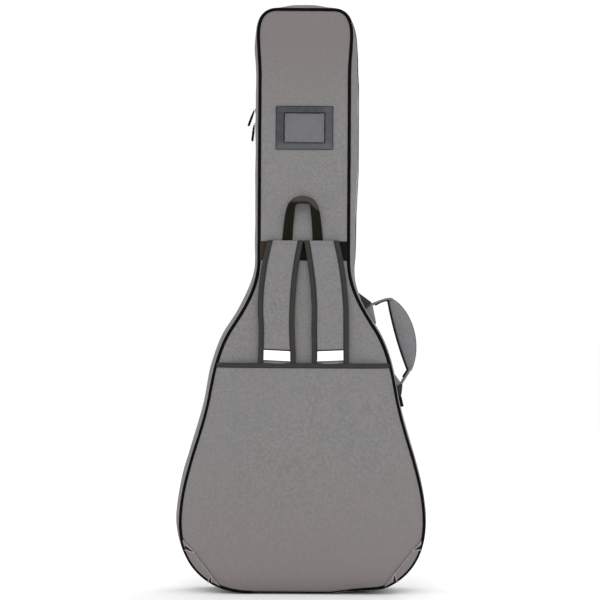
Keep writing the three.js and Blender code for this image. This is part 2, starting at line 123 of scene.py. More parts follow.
def between(first, second, shares):
    """Points across from one line to another."""
    shares = np.asarray(shares)[:, None]
    return first[:, None, :] * (1 - shares) + second[:, None, :] * shares


def bezier(*corners, steps=60):
    """A curve of the second or third degree from its corner points."""
    t = np.linspace(0, 1, steps)[:, None]
    degree = len(corners) - 1
    return sum(
        math.comb(degree, k) * (1 - t) ** (degree - k) * t**k * np.array(corner, float)
        for k, corner in enumerate(corners)
    )


def spline(points, steps=8):
    """A smooth line through all the points, with steps between each two."""
    points = np.array(points, float)
    ends = np.vstack([2 * points[0] - points[1], points, 2 * points[-1] - points[-2]])
    t = np.arange(steps)[:, None] / steps
    parts = []
    for a, b, c, d in zip(ends[:-3], ends[1:-2], ends[2:-1], ends[3:]):
        bend = (2 * a - 5 * b + 4 * c - d) * t**2 + (3 * b - a - 3 * c + d) * t**3
        parts.append(0.5 * (2 * b + (c - a) * t + bend))
    return np.vstack(parts + [points[-1:]])


def length_along(line):
    return np.concatenate([[0], np.cumsum(np.linalg.norm(np.diff(line, axis=0), axis=1))])


def point_at(at, along, line):
    """The point of a line at a length along it."""
    return np.array([np.interp(at, along, line[:, k]) for k in range(3)])


def resample(line, step, closed=False):
    """The line again with points an even step apart."""
    line = np.asarray(line, float)
    if closed:
        line = np.vstack([line, line[:1]])
    along = length_along(line)
    count = max(2, int(round(along[-1] / step)) + 1)
    at = np.linspace(0, along[-1], count)
    even = np.stack([np.interp(at, along, line[:, k]) for k in range(line.shape[1])], axis=1)
    return even[:-1] if closed else even


def unit(vectors):
    return vectors / np.maximum(np.linalg.norm(vectors, axis=-1, keepdims=True), 1e-12)


def spread(direction, path):
    """One direction, or one for each point, as unit directions for a whole path."""
    return unit(np.broadcast_to(np.asarray(direction, float), path.shape))


def directions(path, closed=False):
    if closed:
        return unit(np.roll(path, -1, axis=0) - np.roll(path, 1, axis=0))
    return unit(np.gradient(path, axis=0))


def right_of(along):
    """Flat directions turned by a quarter."""
    return np.stack([along[:, 1], -along[:, 0]], axis=1)


# ---- outline of the shell
def half_outline():
    """The right half of the sewn edge, from the corner of the base to the corner of the head."""
    parts = [
        bezier((BASE_HALF, SEAM_LIFT), (0.173, SEAM_LIFT), (BOUT[0], 0.053), BOUT),
        bezier(BOUT, (BOUT[0], 0.215), (0.183, 0.290), WAIST),
        bezier(WAIST, (0.163, 0.408), (0.155, 0.452), SHOULDER),
        bezier(SHOULDER, (0.100, 0.535), (0.081, 0.572), NECK),
        bezier(NECK_TOP, (NECK_TOP[0], 0.985), (HEAD[0], 1.005), HEAD),
        bezier(HEAD, (HEAD[0], 1.058), (0.076, HEAD_CORNER[1]), HEAD_CORNER),
    ]
    return np.vstack(parts)


def both_halves(right):
    """A closed outline from its right half."""
    return resample(np.vstack([right, right[::-1] * (-1, 1)]), 0.005, closed=True)


RIGHT = half_outline()
OUTLINE = both_halves(RIGHT)
NORMALS = right_of(directions(OUTLINE, closed=True))
FINE = resample(OUTLINE, 0.002, closed=True)


def half_width(z):
    """Half the width of the shell's outline at a height."""
    return np.interp(z, RIGHT[:, 1], RIGHT[:, 0])


def edge_distance(x, z):
    """Distance from points inside the outline to the outline."""
    points = np.stack([np.ravel(x), np.ravel(z)], axis=1)
    chunks = np.array_split(points, len(points) // 2000 + 1)
    gaps = [np.linalg.norm(c[:, None, :] - FINE[None, :, :], axis=2).min(axis=1) for c in chunks]
    return np.concatenate(gaps).reshape(np.shape(x))


# ---- meshes
def settle(verts):
    """Lifts the slack corner of the base, where the bag's right side leaves the floor."""
    verts = np.array(verts, float)
    x, z = verts[:, 0], verts[:, 2]
    verts[:, 2] += 0.0055 * smooth(0.045, 0.100, x) * smooth(0.160, 0.115, x) * smooth(0.045, 0, z)
    return verts


def new_object(name, verts, faces, uvs, closed=False):
    mesh = bpy.data.meshes.new(name)
    mesh.from_pydata([tuple(v) for v in settle(verts)], [], faces)
    layer = mesh.uv_layers.new(name="UVMap")
    loops = np.empty(len(mesh.loops), np.int64)
    mesh.loops.foreach_get("vertex_index", loops)
    layer.data.foreach_set("uv", np.asarray(uvs, np.float32)[loops].ravel())
    if closed:
        made = bmesh.new()
        made.from_mesh(mesh)
        bmesh.ops.recalc_face_normals(made, faces=made.faces)
        made.to_mesh(mesh)
        made.free()
    mesh.polygons.foreach_set("use_smooth", [True] * len(mesh.polygons))
    mesh.update()
    made = bpy.data.objects.new(name, mesh)
    bpy.context.scene.collection.objects.link(made)
    return made


def grid(name, points, uv, wrap_rows=False, wrap_columns=False, flip=False, caps=False):
    """A mesh from rows and columns of points. uv has the same rows and columns, in metres."""
    rows, columns = points.shape[:2]
    index = np.arange(rows * columns).reshape(rows, columns)
    faces = []
    for r in range(rows if wrap_rows else rows - 1):
        below = index[r]
        above = index[(r + 1) % rows]
        for c in range(columns if wrap_columns else columns - 1):
            d = (c + 1) % columns
            face = (below[c], below[d], above[d], above[c])
            faces.append(face[::-1] if flip else face)
    if caps:
        faces.append(tuple(index[0][::-1]))
        faces.append(tuple(index[-1]))
    return new_object(name, points.reshape(-1, 3), faces, uv.reshape(-1, 2), closed=wrap_columns)


def lofted(name, points):
    """A closed form from rings of points."""
    return grid(name, points, points[..., [0, 2]], wrap_columns=True, caps=True)


def cushion(name, flat, front, back):
    """A closed form over flat points, with its faces at front and back in Y.

    The numbers of its vertices come with it, in rows and columns: front first, then back."""
    points = np.concatenate([at_depth(flat, front), at_depth(flat, back)[:, ::-1]], axis=1)
    return lofted(name, points), np.arange(points[..., 0].size).reshape(points.shape[:2])


def thicken(piece, thickness=FABRIC):
    """Gives a sheet its thickness, on the side away from its normals."""
    solid = piece.modifiers.new("Thickness", "SOLIDIFY")
    solid.thickness = thickness
    solid.offset = -1
    return piece


def subdivide(piece):
    sub = piece.modifiers.new("Subdivision", "SUBSURF")
    sub.levels = 1
    sub.render_levels = 1
    return piece


def sweep(name, path, first, second, section, closed=False):
    """Sweeps a closed section along a path. The section's corners are along first and second."""
    path = np.asarray(path, float)
    first, second = spread(first, path), spread(second, path)
    section = np.asarray(section, float)
    if section.ndim == 2:
        section = np.broadcast_to(section, (len(path),) + section.shape)
    points = (
        path[:, None, :]
        + first[:, None, :] * section[..., 0:1]
        + second[:, None, :] * section[..., 1:2]
    )
    uv = np.empty(points.shape[:2] + (2,))
    around = np.linalg.norm(section - np.roll(section, 1, axis=1), axis=2)
    uv[..., 0] = np.cumsum(around, axis=1)
    uv[..., 1] = length_along(path)[:, None]
    return grid(name, points, uv, wrap_rows=closed, wrap_columns=True, caps=not closed)


def ribbon(name, path, across, width, thickness):
    """Webbing or tape along path. across is the direction of its width."""
    path = np.asarray(path, float)
    up = unit(np.cross(directions(path), spread(across, path)))
    across = unit(np.cross(up, directions(path)))
    half = thickness / 2
    flat = np.linspace(-1, 1, 9) * (width / 2 - thickness * 0.35)
    top = np.stack([flat, np.full(9, half)], axis=1)
    low = np.stack([flat[::-1], np.full(9, -half)], axis=1)
    section = np.vstack([top, [[width / 2, 0]], low, [[-width / 2, 0]]])
    return sweep(name, path, across, up, section)


def band(name, inner, outer, thickness):
    """Webbing between two edges."""
    across = outer - inner
    up = unit(np.cross(directions((inner + outer) / 2), across))[:, None, :] * thickness / 2
    share = np.concatenate([np.linspace(0.03, 0.97, 9), [1.0], np.linspace(0.97, 0.03, 9), [0.0]])
    level = np.concatenate([np.ones(9), [0.0], -np.ones(9), [0.0]])
    points = inner[:, None, :] + across[:, None, :] * share[:, None] + up * level[:, None]
    uv = np.empty(points.shape[:2] + (2,))
    uv[..., 0] = share * 0.0187
    uv[..., 1] = length_along((inner + outer) / 2)[:, None]
    return grid(name, points, uv, wrap_columns=True, caps=True)


def circle(radius, sides=10):
    angle = np.linspace(0, 2 * np.pi, sides, endpoint=False)
    return np.stack([np.cos(angle), np.sin(angle)], axis=1) * radius


def tube(name, path, radius, side=(0, 1, 0), sides=10, closed=False):
    """A round cord along path. side is any direction that the path never takes."""
    path = np.asarray(path, float)
    along = directions(path, closed)
    first = unit(np.cross(along, np.broadcast_to(side, path.shape)))
    second = np.cross(along, first)
    radius = np.broadcast_to(radius, len(path))
    section = circle(1, sides)[None] * radius[:, None, None]
    return sweep(name, path, first, second, section, closed)


def stitches(name, rows, length=0.0030, gap=0.0016, radius=0.00042):
    """Sewing stitches. Each row is a path with the outward direction at each of its points."""
    ring = np.array([[0, 1], [0.9, 0.45], [0.9, -0.3], [-0.9, -0.3], [-0.9, 0.45]]) * radius
    verts, faces = [], []
    for path, outward in rows:
        outward = spread(outward, path)
        along = length_along(path)
        for start in np.arange(gap, along[-1] - length, length + gap):
            at = [start, start + length / 2, start + length]
            tail, middle, tip = (point_at(a, along, path) for a in at)
            up = point_at(at[1], along, outward)
            up /= np.linalg.norm(up)
            side = np.cross(tip - tail, up)
            side /= np.linalg.norm(side)
            base = len(verts)
            verts += [tail - up * radius * 0.5, tip - up * radius * 0.5]
            verts += [middle + side * a + up * b for a, b in ring]
            for k in range(5):
                here, there = base + 2 + k, base + 2 + (k + 1) % 5
                faces += [(base, there, here), (base + 1, here, there)]
    return new_object(name, verts, faces, np.zeros((len(verts), 2)), closed=True)


def surface_depth(piece, sign):
    """A function that reads the height in Y of a piece's outer side at points in X and Z."""
    points = np.array([v.co for v in piece.data.vertices])
    middle = (points[:, 1].max() + points[:, 1].min()) / 2
    points = points[(points[:, 1] - middle) * sign > 0]
    tree = kdtree.KDTree(len(points))
    for i, (x, _, z) in enumerate(points):
        tree.insert((x, 0, z), i)
    tree.balance()

    def depth(x, z):
        found = tree.find_n((x, 0, z), 4)
        weights = np.array([1 / (gap + 1e-5) for _, _, gap in found])
        heights = np.array([points[i][1] for _, i, _ in found])
        return float((weights * heights).sum() / weights.sum())

    return np.vectorize(depth)


# ---- cloth
def puff(piece, pressure, cap, pins, stretch=0.0, loose=1.0):
    """Fills a closed piece by cloth simulation and keeps the result.

    cap is how far any point may move. pins are the vertices that are sewn down, and loose is the
    share of its movement that each point keeps."""
    rest = np.array([v.co for v in piece.data.vertices])
    cloth = piece.modifiers.new("Cloth", "CLOTH")
    settings = cloth.settings
    settings.quality = 5
    settings.mass = 0.2
    settings.tension_stiffness = 20
    settings.compression_stiffness = 20
    settings.shear_stiffness = 8
    settings.bending_stiffness = 1.5
    settings.use_pressure = True
    settings.uniform_pressure_force = pressure
    settings.shrink_min = -stretch
    settings.effector_weights.gravity = 0
    group = piece.vertex_groups.new(name="Sewn")
    group.add([int(i) for i in pins], 1.0, "REPLACE")
    settings.vertex_group_mass = "Sewn"
    scene = bpy.context.scene
    for number in range(1, 21):
        scene.frame_set(number)
    seen = piece.evaluated_get(bpy.context.evaluated_depsgraph_get())
    moved = np.array([v.co for v in seen.data.vertices]) - rest
    far = np.linalg.norm(moved, axis=1)
    moved *= (np.minimum(1, cap / np.maximum(far, 1e-9)) * loose)[:, None]
    piece.modifiers.remove(cloth)
    piece.vertex_groups.clear()
    scene.frame_set(1)
    piece.data.vertices.foreach_set("co", (rest + moved).astype(np.float32).ravel())
    piece.data.update()


# ---- materials
class Shader:
    """A material's node tree, with short ways to add nodes and join them."""

    def __init__(self, name):
        self.material = bpy.data.materials.new(name)
        self.material.use_nodes = True
        self.tree = self.material.node_tree
        self.tree.nodes.clear()
        out = self.tree.nodes.new("ShaderNodeOutputMaterial")
        self.bsdf = self.tree.nodes.new("ShaderNodeBsdfPrincipled")
        self.tree.links.new(self.bsdf.outputs[0], out.inputs[0])
        places = self.add("TexCoord").outputs
        self.uv, self.place = places["UV"], places["Object"]

    def add(self, kind, inputs=None, **settings):
        node = self.tree.nodes.new("ShaderNode" + kind)
        for key, value in settings.items():
            setattr(node, key, value)
        for key, value in (inputs or {}).items():
            self.set(node.inputs[key], value)
        return node

    def set(self, socket, value):
        if isinstance(value, bpy.types.NodeSocket):
            self.tree.links.new(value, socket)
        else:
            socket.default_value = value

    def maths(self, operation, a, b=0.0):
        return self.add("Math", {0: a, 1: b}, operation=operation).outputs[0]

    def times(self, a, b):
        return self.maths("MULTIPLY", a, b)

    def axes(self, vector):
        return self.add("SeparateXYZ", {0: vector}).outputs

    def mix(self, factor, a, b):
        return self.add("Mix", {0: factor, 6: a, 7: b}, data_type="RGBA").outputs[2]

    def over(self, tone, mask, amount, color):
        """Lays a colour over a tone where the mask is high."""
        return self.mix(self.times(mask, amount), tone, color)

    def noise(self, scale, detail=3.0, roughness=0.55):
        found = {"Vector": self.place, "Scale": scale, "Detail": detail, "Roughness": roughness}
        return self.add("TexNoise", found).outputs["Fac"]

    def ramp(self, value, low, high, first=0.0, last=1.0):
        return self.add("MapRange", {0: value, 1: low, 2: high, 3: first, 4: last}).outputs[0]

    def mottle(self, value, color, amount):
        """A colour that gets darker and lighter by an amount."""
        return self.mix(self.ramp(value, 0.3, 0.7), rgba(color, 1 - amount), rgba(color, 1 + amount))

    def wave(self, value, pitch):
        return self.maths("SINE", self.times(value, 2 * math.pi / pitch))

    def weave(self, pitch_u, pitch_v):
        """Plain weave: over-and-under threads along both directions of the cloth."""
        u, v, _ = self.axes(self.uv)
        return self.ramp(self.times(self.wave(u, pitch_u), self.wave(v, pitch_v)), -1.0, 1.0)

    def bump(self, height, distance, strength=1.0, under=None):
        node = self.add("Bump", {"Height": height, "Distance": distance, "Strength": strength})
        if under is not None:
            self.set(node.inputs["Normal"], under)
        return node.outputs[0]

    def finish(self, color, rough, normal, more=()):
        """Sets the surface and returns the material."""
        found = {"Base Color": color, "Roughness": rough, "Normal": normal, **dict(more)}
        for key, value in found.items():
            self.set(self.bsdf.inputs[key], value)
        return self.material


def rgba(color, *factors):
    """A colour for a shader, times one factor or times one for each channel."""
    factors = factors * 3 if len(factors) == 1 else factors or (1.0, 1.0, 1.0)
    return tuple(c * f for c, f in zip(color, factors)) + (1.0,)


def fabric_material(name, color, pitch=0.0011, sheen=0.02, rough=0.92, warm=0.0, gloss=0.06):
    """Woven polyester: weave, flecked yarn, soft clouds of tone and wide drifts of colour.

    warm is how much browner and darker its lowest and highest parts are."""
    shader = Shader(name)
    weave = shader.weave(pitch, pitch)
    fibres = shader.noise(700.0, 3.0, 0.7)
    flecks = shader.noise(230.0, 3.0, 0.65)
    cloud = shader.noise(34.0, 4.0, 0.6)
    wide = shader.noise(5.5, 2.0, 0.5)
    tone = shader.mottle(fibres, color, 0.09)
    layers = [
        (weave, 0.14, (1.3,)),
        (shader.ramp(flecks, 0.40, 0.62), 0.75, (0.70,)),
        (shader.ramp(cloud, 0.42, 0.75), 0.45, (1.10, 0.98, 0.96)),
        (shader.ramp(cloud, 0.5, 0.25), 0.35, (0.90, 0.98, 0.97)),
        (shader.ramp(wide, 0.40, 0.68), 0.45, (0.90, 0.91, 0.93)),
    ]
    if warm:
        height = shader.axes(shader.place)[2]
        layers.append((shader.ramp(height, 0.30, 0.02), warm, (1.0, 0.92, 0.88)))
        layers.append((shader.ramp(height, 0.86, 1.02), warm, (0.83, 0.76, 0.73)))
    for mask, amount, factors in layers:
        tone = shader.over(tone, mask, amount, rgba(color, *factors))
    normal = shader.bump(cloud, 0.0014, 0.4, shader.bump(weave, 0.00018))
    more = {"Sheen Weight": sheen, "Sheen Roughness": 0.5, "Specular IOR Level": gloss}
    return shader.finish(tone, rough, normal, more)


def webbing_material(name, color, rib, mottle=0.14, dusty=1.5, dust_and_highlight=(0, 0, 0), lit_crown=None,
                     dusty_left=None):
    """Heavy webbing or tape: ribs across, threads along, dusty ribs, and, where asked, a painted
    highlight over its crown.

    The crown pair is the height above which its top gets a painted highlight, a lighter and browner
    tone where it faces the light, and the same along a slope to the right.
    dusty_left is the X where its left end gets dusty, and where it is fully so."""
    shader = Shader(name)
    weave = shader.weave(rib, rib * 1.6)
    ribs = shader.ramp(shader.wave(shader.axes(shader.uv)[1], rib), -1.0, 1.0)
    cloud = shader.noise(60.0, 3.0, 0.6)
    axes = shader.axes(shader.place)
    tone = shader.mottle(shader.noise(480.0, 4.0, 0.7), color, mottle)
    tone = shader.over(tone, ribs, 0.22, rgba(color, dusty))
    tone = shader.over(tone, shader.ramp(cloud, 0.45, 0.8), 0.35, rgba(color, dusty))
    # Painted highlight: the crown's upward face gets a lighter, browner tone, as if lit from above.
    if lit_crown:
        level, right = lit_crown
        slope = shader.maths("ADD", axes[2], shader.times(axes[0], 0.77))
        lit_top = shader.maths("MAXIMUM", shader.ramp(axes[2], level - 0.0015, level + 0.0025),
                            shader.ramp(slope, right - 0.002, right + 0.003))
        tone = shader.over(tone, lit_top, 0.9, rgba(dust_and_highlight))
    if dusty_left:
        tone = shader.over(tone, shader.ramp(axes[0], *dusty_left), 0.9, rgba(dust_and_highlight))
    normal = shader.bump(shader.maths("ADD", ribs, weave), 0.00022)
    return shader.finish(tone, 0.85, normal, {"Specular IOR Level": 0.08})


def solid_material(name, color, rough, metal=0.0, grain=260.0, relief=0.00008, wear=0.0):
    """Moulded plastic, rubber or metal: fine grain, uneven gloss and rubbed high spots."""
    shader = Shader(name)
    fine = shader.noise(grain, 4.0, 0.6)
    cloud = shader.noise(90.0, 3.0, 0.6)
    tone = shader.mottle(cloud, color, 0.08)
    if wear:
        rubbed = shader.ramp(shader.add("NewGeometry").outputs["Pointiness"], 0.52, 0.6)
        tone = shader.over(tone, shader.times(rubbed, wear), fine, rgba(color, 2.2))
    gloss = shader.ramp(cloud, 0.3, 0.7, rough * 0.85, rough * 1.15)
    return shader.finish(tone, gloss, shader.bump(fine, relief, 0.6), {"Metallic": metal})


def vinyl_material(name, color):
    """Embossed vinyl. Its lower band has a painted reflection, lighter as if it caught the light, and
    it gets lighter towards its right-hand edge.
    """
    shader = Shader(name)
    axes = shader.axes(shader.place)
    grain = shader.add("TexVoronoi", {"Vector": shader.place, "Scale": 700.0}).outputs["Distance"]
    tone = shader.mottle(shader.noise(110.0, 4.0, 0.65), color, 0.20)
    # Painted reflection: lighter below the top of the frame's lower band.
    tone = shader.over(tone, shader.ramp(axes[2], 0.836, 0.824), 0.55, rgba(color, 2.1))
    # Lighter towards the right-hand edge.
    tone = shader.over(tone, shader.ramp(axes[0], 0.034, 0.040), 0.35, rgba(color, 2.0))
    return shader.finish(tone, 0.6, shader.bump(grain, 0.0002), {"Specular IOR Level": 0.15})


def lining_material(name, color):
    """Smooth satin lining."""
    shader = Shader(name)
    weave = shader.weave(0.0009, 0.0009)
    cloud = shader.noise(26.0, 4.0, 0.6)
    tone = shader.mix(shader.ramp(cloud, 0.3, 0.75), rgba(color, 0.88), rgba(color, 1.15))
    tone = shader.over(tone, weave, 0.2, rgba(color, 1.5))
    normal = shader.bump(cloud, 0.002, 0.35, shader.bump(weave, 0.0001))
    return shader.finish(tone, 0.6, normal, {"Sheen Weight": 0.05, "Specular IOR Level": 0.2})


def reflective_material(name):
    """White retroreflective tape with a fine diamond grid, a few creases and a faint painted glow."""
    shader = Shader(name)
    u, v, _ = shader.axes(shader.uv)
    pitch = 0.0026
    lines = shader.times(shader.wave(shader.maths("ADD", u, v), pitch),
                         shader.wave(shader.maths("SUBTRACT", u, v), pitch))
    crease = shader.noise(70.0, 4.0, 0.6)
    tone = shader.mix(shader.ramp(lines, -1.0, 1.0), (0.80, 0.82, 0.90, 1), (0.93, 0.94, 0.97, 1))
    tone = shader.mix(shader.ramp(crease, 0.55, 0.8), tone, (0.72, 0.74, 0.84, 1))
    # The emission is a painted glow: the tape shines a little by itself, standing in for its bright
    # reflection.
    more = {"Coat Weight": 0.3, "Emission Color": (0.9, 0.93, 1.0, 1), "Emission Strength": 0.25}
    return shader.finish(tone, 0.35, shader.bump(crease, 0.0006, 0.5), more)


def pane_material(name):
    """Soft clear film, faintly hazy and scuffed."""
    shader = Shader(name)
    scuff = shader.noise(140.0, 5.0, 0.7)
    tone = shader.mix(shader.ramp(scuff, 0.4, 0.75), (0.17, 0.17, 0.18, 1), (0.24, 0.24, 0.25, 1))
    rough = shader.ramp(scuff, 0.4, 0.8, 0.10, 0.28)
    normal = shader.bump(shader.noise(22.0, 2.0, 0.5), 0.0020, 0.5)
    return shader.finish(tone, rough, normal, {"Alpha": 0.34, "Coat Weight": 0.15})


LOOKS = {
    "canvas": (fabric_material, dict(color=(0.219, 0.213, 0.214), warm=0.72)),
    "gusset_canvas": (fabric_material, dict(color=(0.226, 0.225, 0.227), warm=0.40)),
    "strap_canvas": (fabric_material, dict(color=(0.214, 0.209, 0.214))),
    "piping": (fabric_material, dict(color=(0.005, 0.004, 0.005), pitch=0.0009, rough=0.8,
                                     sheen=0.0, gloss=0.03)),
    "zip_tape": (fabric_material, dict(color=(0.014, 0.013, 0.015), pitch=0.0008, rough=0.85)),
    "thread": (fabric_material, dict(color=(0.13, 0.127, 0.125), pitch=0.0006, rough=0.7)),
    "dark_thread": (fabric_material, dict(color=(0.02, 0.02, 0.018), pitch=0.0006, rough=0.7)),
    "pale_thread": (fabric_material, dict(color=(0.50, 0.47, 0.46), pitch=0.0006, rough=0.7)),
    "yoke_webbing": (webbing_material, dict(color=(0.005, 0.005, 0.005), rib=0.0021, dusty=3.0,
                                            dust_and_highlight=(0.050, 0.034, 0.022),
                                            dusty_left=(-0.055, -0.080))),
    "handle_webbing": (webbing_material, dict(color=(0.195, 0.192, 0.186), rib=0.0018)),
    "binding": (webbing_material, dict(color=(0.037, 0.038, 0.034), rib=0.0013)),
    "black_webbing": (webbing_material, dict(color=(0.008, 0.008, 0.007), rib=0.0019)),
    # The loop's crown gets a painted highlight in this lighter, browner tone.
    "loop_webbing": (webbing_material, dict(color=(0.006, 0.007, 0.004), rib=0.0019, mottle=0.3,
                                            dusty=2.2, dust_and_highlight=(0.064, 0.056, 0.050),
                                            lit_crown=(0.7205, 0.7250))),
    "lining": (lining_material, dict(color=(0.085, 0.087, 0.098))),
    "reflective": (reflective_material, {}),
    "card_pane": (pane_material, {}),
    "card_frame": (vinyl_material, dict(color=(0.052, 0.054, 0.060))),
    "zip_coil": (solid_material, dict(color=(0.008, 0.008, 0.009), rough=0.45)),
    "buckle": (solid_material, dict(color=(0.010, 0.010, 0.011), rough=0.4, wear=0.5)),
    "rubber": (solid_material, dict(color=(0.028, 0.028, 0.029), rough=0.8, grain=500.0,
                                    relief=0.0002)),
    "slider_metal": (solid_material, dict(color=(0.020, 0.020, 0.022), rough=0.35, metal=0.7,
                                          wear=0.6)),
}
MATERIALS = {name: make(name, **look) for name, (make, look) in LOOKS.items()}
FOLD = ((FOLD_X + FOLD_SPAN, 0, 0), (FOLD_X - FOLD_SPAN, 0, 0))


def paint(piece, name):
    piece.data.materials.clear()
    piece.data.materials.append(MATERIALS[name])


def finish_piece(piece, material, body, replaces=(), bend=()):
    """Paints a piece, hides the CAD parts that it replaces and puts it on its body.

    A piece that bends names two bodies, and bend is where it starts and ends to turn; such a piece is
    only baked in place, on no body."""
    paint(piece, material)
    if bend:
        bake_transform(piece)
    else:
        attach(piece, body)
    if replaces:
        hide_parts(*replaces)


def fold_piece(piece, material, replaces):
    """A piece of the front that crosses the lid's fold."""
    finish_piece(piece, material, ("shell", "lid"), replaces, FOLD)


# ---- panels
def panel_grid(z_low, z_high, step=0.004, columns=96, inset=0.001):
    """Rows of points in X and Z that fill the outline between two heights, closer at its edges."""
    z = np.linspace(z_low, z_high, int(round((z_high - z_low) / step)) + 1)
    even = np.linspace(-1, 1, columns)
    u = 0.55 * even + 0.45 * np.sin(even * math.pi / 2)
    width = half_width(np.clip(z, SEAM_LIFT, HEAD_CORNER[1])) - inset
    return width[:, None] * u[None, :], np.repeat(z[:, None], columns, axis=1)


def back_y(x, z):
    """Outer face of the back panel's fabric: rolled over at the piping, then gently crowned."""
    d = edge_distance(x, z)
    wavy = ripple(xyz(x, 0, z), 0.07, 1) * 0.0005 * smooth(0.005, 0.04, d)
    return -(EDGE_Y + 0.0034 * (1 - np.exp(-d / 0.0055)) + 0.0013 * smooth(0, 0.07, d) + wavy)


def front_y(x, z):
    """Outer face of the lid's fabric."""
    d = edge_distance(x, z)
    wavy = ripple(xyz(x, 0, z), 0.09, 5) * 0.0012 * smooth(0.005, 0.05, d)
    return EDGE_Y + 0.0030 * (1 - np.exp(-d / 0.006)) + 0.0010 * smooth(0, 0.08, d) + wavy


def stow_y(x, z):
    """Outer face of the stow pocket: sewn flat at the sides and base, and standing off inside."""
    d = edge_distance(x, z)
    level = xyz(x, 0, z)
    wavy = ripple(level, 0.13, 2) * 0.0012 + ripple(level, 0.05, 3) * 0.0004
    stand = 0.0150 * (1 - np.exp(-((d / 0.017) ** 1.25)))
    return -(EDGE_Y + 0.0012 + stand + wavy * smooth(0.01, 0.06, d))


def lining_y(x, z, side):
    """Inner face of a panel's lining, quilted into soft diamonds."""
    pitch = 0.055
    cells = np.abs(np.sin(math.pi * (x + z) / pitch) * np.sin(math.pi * (x - z) / pitch))
    return side * (LINING_Y - 0.0016 * np.sqrt(cells))


def panel_piece(name, x, y, z, thickness=FABRIC, flip=False):
    piece = grid(name, xyz(x, y, z), np.stack([x, z], axis=-1), flip=flip)
    return thicken(piece, thickness)


def make_panels():
    x, z = panel_grid(SEAM_LIFT + 0.001, HEAD_CORNER[1] - 0.001)
    back = panel_piece("back_panel_fabric", x, back_y(x, z), z)
    finish_piece(back, "canvas", "shell", ["back_panel", "back_foam"])
    front = panel_piece("front_panel_fabric", x, front_y(x, z), z, flip=True)
    nodes = ["lid_panel", "front_side_panel", "lid_foam", "front_side_foam"]
    fold_piece(front, "canvas", nodes)
    inset = 0.0048
    x, z = panel_grid(SEAM_LIFT + inset, HEAD_CORNER[1] - inset, inset=inset)
    lining = panel_piece("back_panel_lining", x, lining_y(x, z, -1), z, 0.0005, flip=True)
    finish_piece(lining, "lining", "shell", ["back_lining"])
    lining = panel_piece("front_panel_lining", x, lining_y(x, z, 1), z, 0.0005)
    fold_piece(lining, "lining", ["lid_lining", "front_side_lining"])


# ---- gusset, piping and zip
NECK_SWELL = {  # heights, and how far the padding of the neck's right side stands out there
    "height": (0.540, 0.620, 0.700, 0.780, 0.940, 0.990, 1.020, 1.050),
    "out": (0.0022, 0.0092, 0.0100, 0.0136, 0.0134, 0.0100, 0.0060, 0.0022),
}
ZIPPED = smooth(FOLD_X + 0.004, FOLD_X - 0.004, OUTLINE[:, 0])  # where the zip parts the gusset


def swell(x, z):
    """How far the gusset's padding stands out beyond its flat size at a point of the outline."""
    neck = smooth(0.54, 0.60, z)
    left = 0.0066 * (1 - neck) + 0.0046 * neck
    right = np.where(z < 0.54, 0.0020, np.interp(z, NECK_SWELL["height"], NECK_SWELL["out"]))
    side = np.where(x < 0, left * (1 - 0.6 * smooth(1.00, 1.04, z)), right)
    crown = 0.0072 * smooth(0.060, 0.012, np.abs(x)) * smooth(1.06, 1.07, z)
    return (side + crown) * smooth(0.030, 0.150, z)


def gusset_out(outline, y, zipped=0.0):
    """How far the gusset's fabric stands outside the sewn edge, at each outline point and depth."""
    x, z = outline[:, 0:1], outline[:, 1:2]
    t = np.clip((GUSSET_Y - np.abs(y)) / (GUSSET_Y - ZIP_HALF), 0, 1)
    rise = 1 - (1 - t) ** 3
    dip = smooth(0.62, 1.0, t) * np.reshape(zipped, (-1, 1))
    bulge = swell(x, z)
    left_neck = smooth(0.54, 0.66, z) * (x < 0) * smooth(1.06, 1.02, z)
    sunk = dip * (0.0006 + 0.95 * bulge * left_neck)
    return 0.0031 + (0.0010 + bulge) * rise - sunk


def ring_points(outline, normals, out, y):
    """Points outside an outline, for each of its points and each depth."""
    out = np.broadcast_to(out, (len(outline), len(y)))
    flat = outline[:, None, :] + normals[:, None, :] * out[..., None]
    return at_depth(flat, y)


def ring_uv(outline, y):
    return np.stack(np.broadcast_arrays(length_along(outline)[:, None], y), axis=-1)


def gusset_ring(name, y):
    points = ring_points(OUTLINE, NORMALS, gusset_out(OUTLINE, y, ZIPPED), y)
    wavy = ripple(points, 0.045, 8) * 0.0009 * smooth(0.006, 0.05, points[..., 2])
    wavy *= smooth(GUSSET_Y, GUSSET_Y - 0.012, np.abs(y)) * smooth(0.005, 0.014, np.abs(y))
    points += at_depth(NORMALS)[:, None, :] * wavy[..., None]
    points[..., 2] = np.maximum(points[..., 2], 0.0002)
    return thicken(grid(name, points, ring_uv(OUTLINE, y), wrap_rows=True))


def outline_part(keep):
    """The points of the outline that keep allows, in one run, with their normals."""
    chosen = np.array([keep(p) for p in OUTLINE])
    first = int(np.argmax(chosen & ~np.roll(chosen, 1)))
    order = (np.arange(len(OUTLINE)) + first) % len(OUTLINE)
    order = order[chosen[order]]
    return OUTLINE[order], NORMALS[order]


def make_gusset():
    depth = ZIP_HALF + (GUSSET_Y - ZIP_HALF) * np.linspace(0, 1, 18)
    back = gusset_ring("gusset_fabric_back", -depth[::-1])
    nodes = ["back_gusset", "spine_gusset", "back_gusset_foam", "spine_gusset_foam"]
    finish_piece(back, "gusset_canvas", "shell", nodes)
    front = gusset_ring("gusset_fabric_front", depth)
    fold_piece(front, "gusset_canvas", ["lid_gusset", "lid_gusset_foam"])
    make_spine()
    make_gusset_lining()


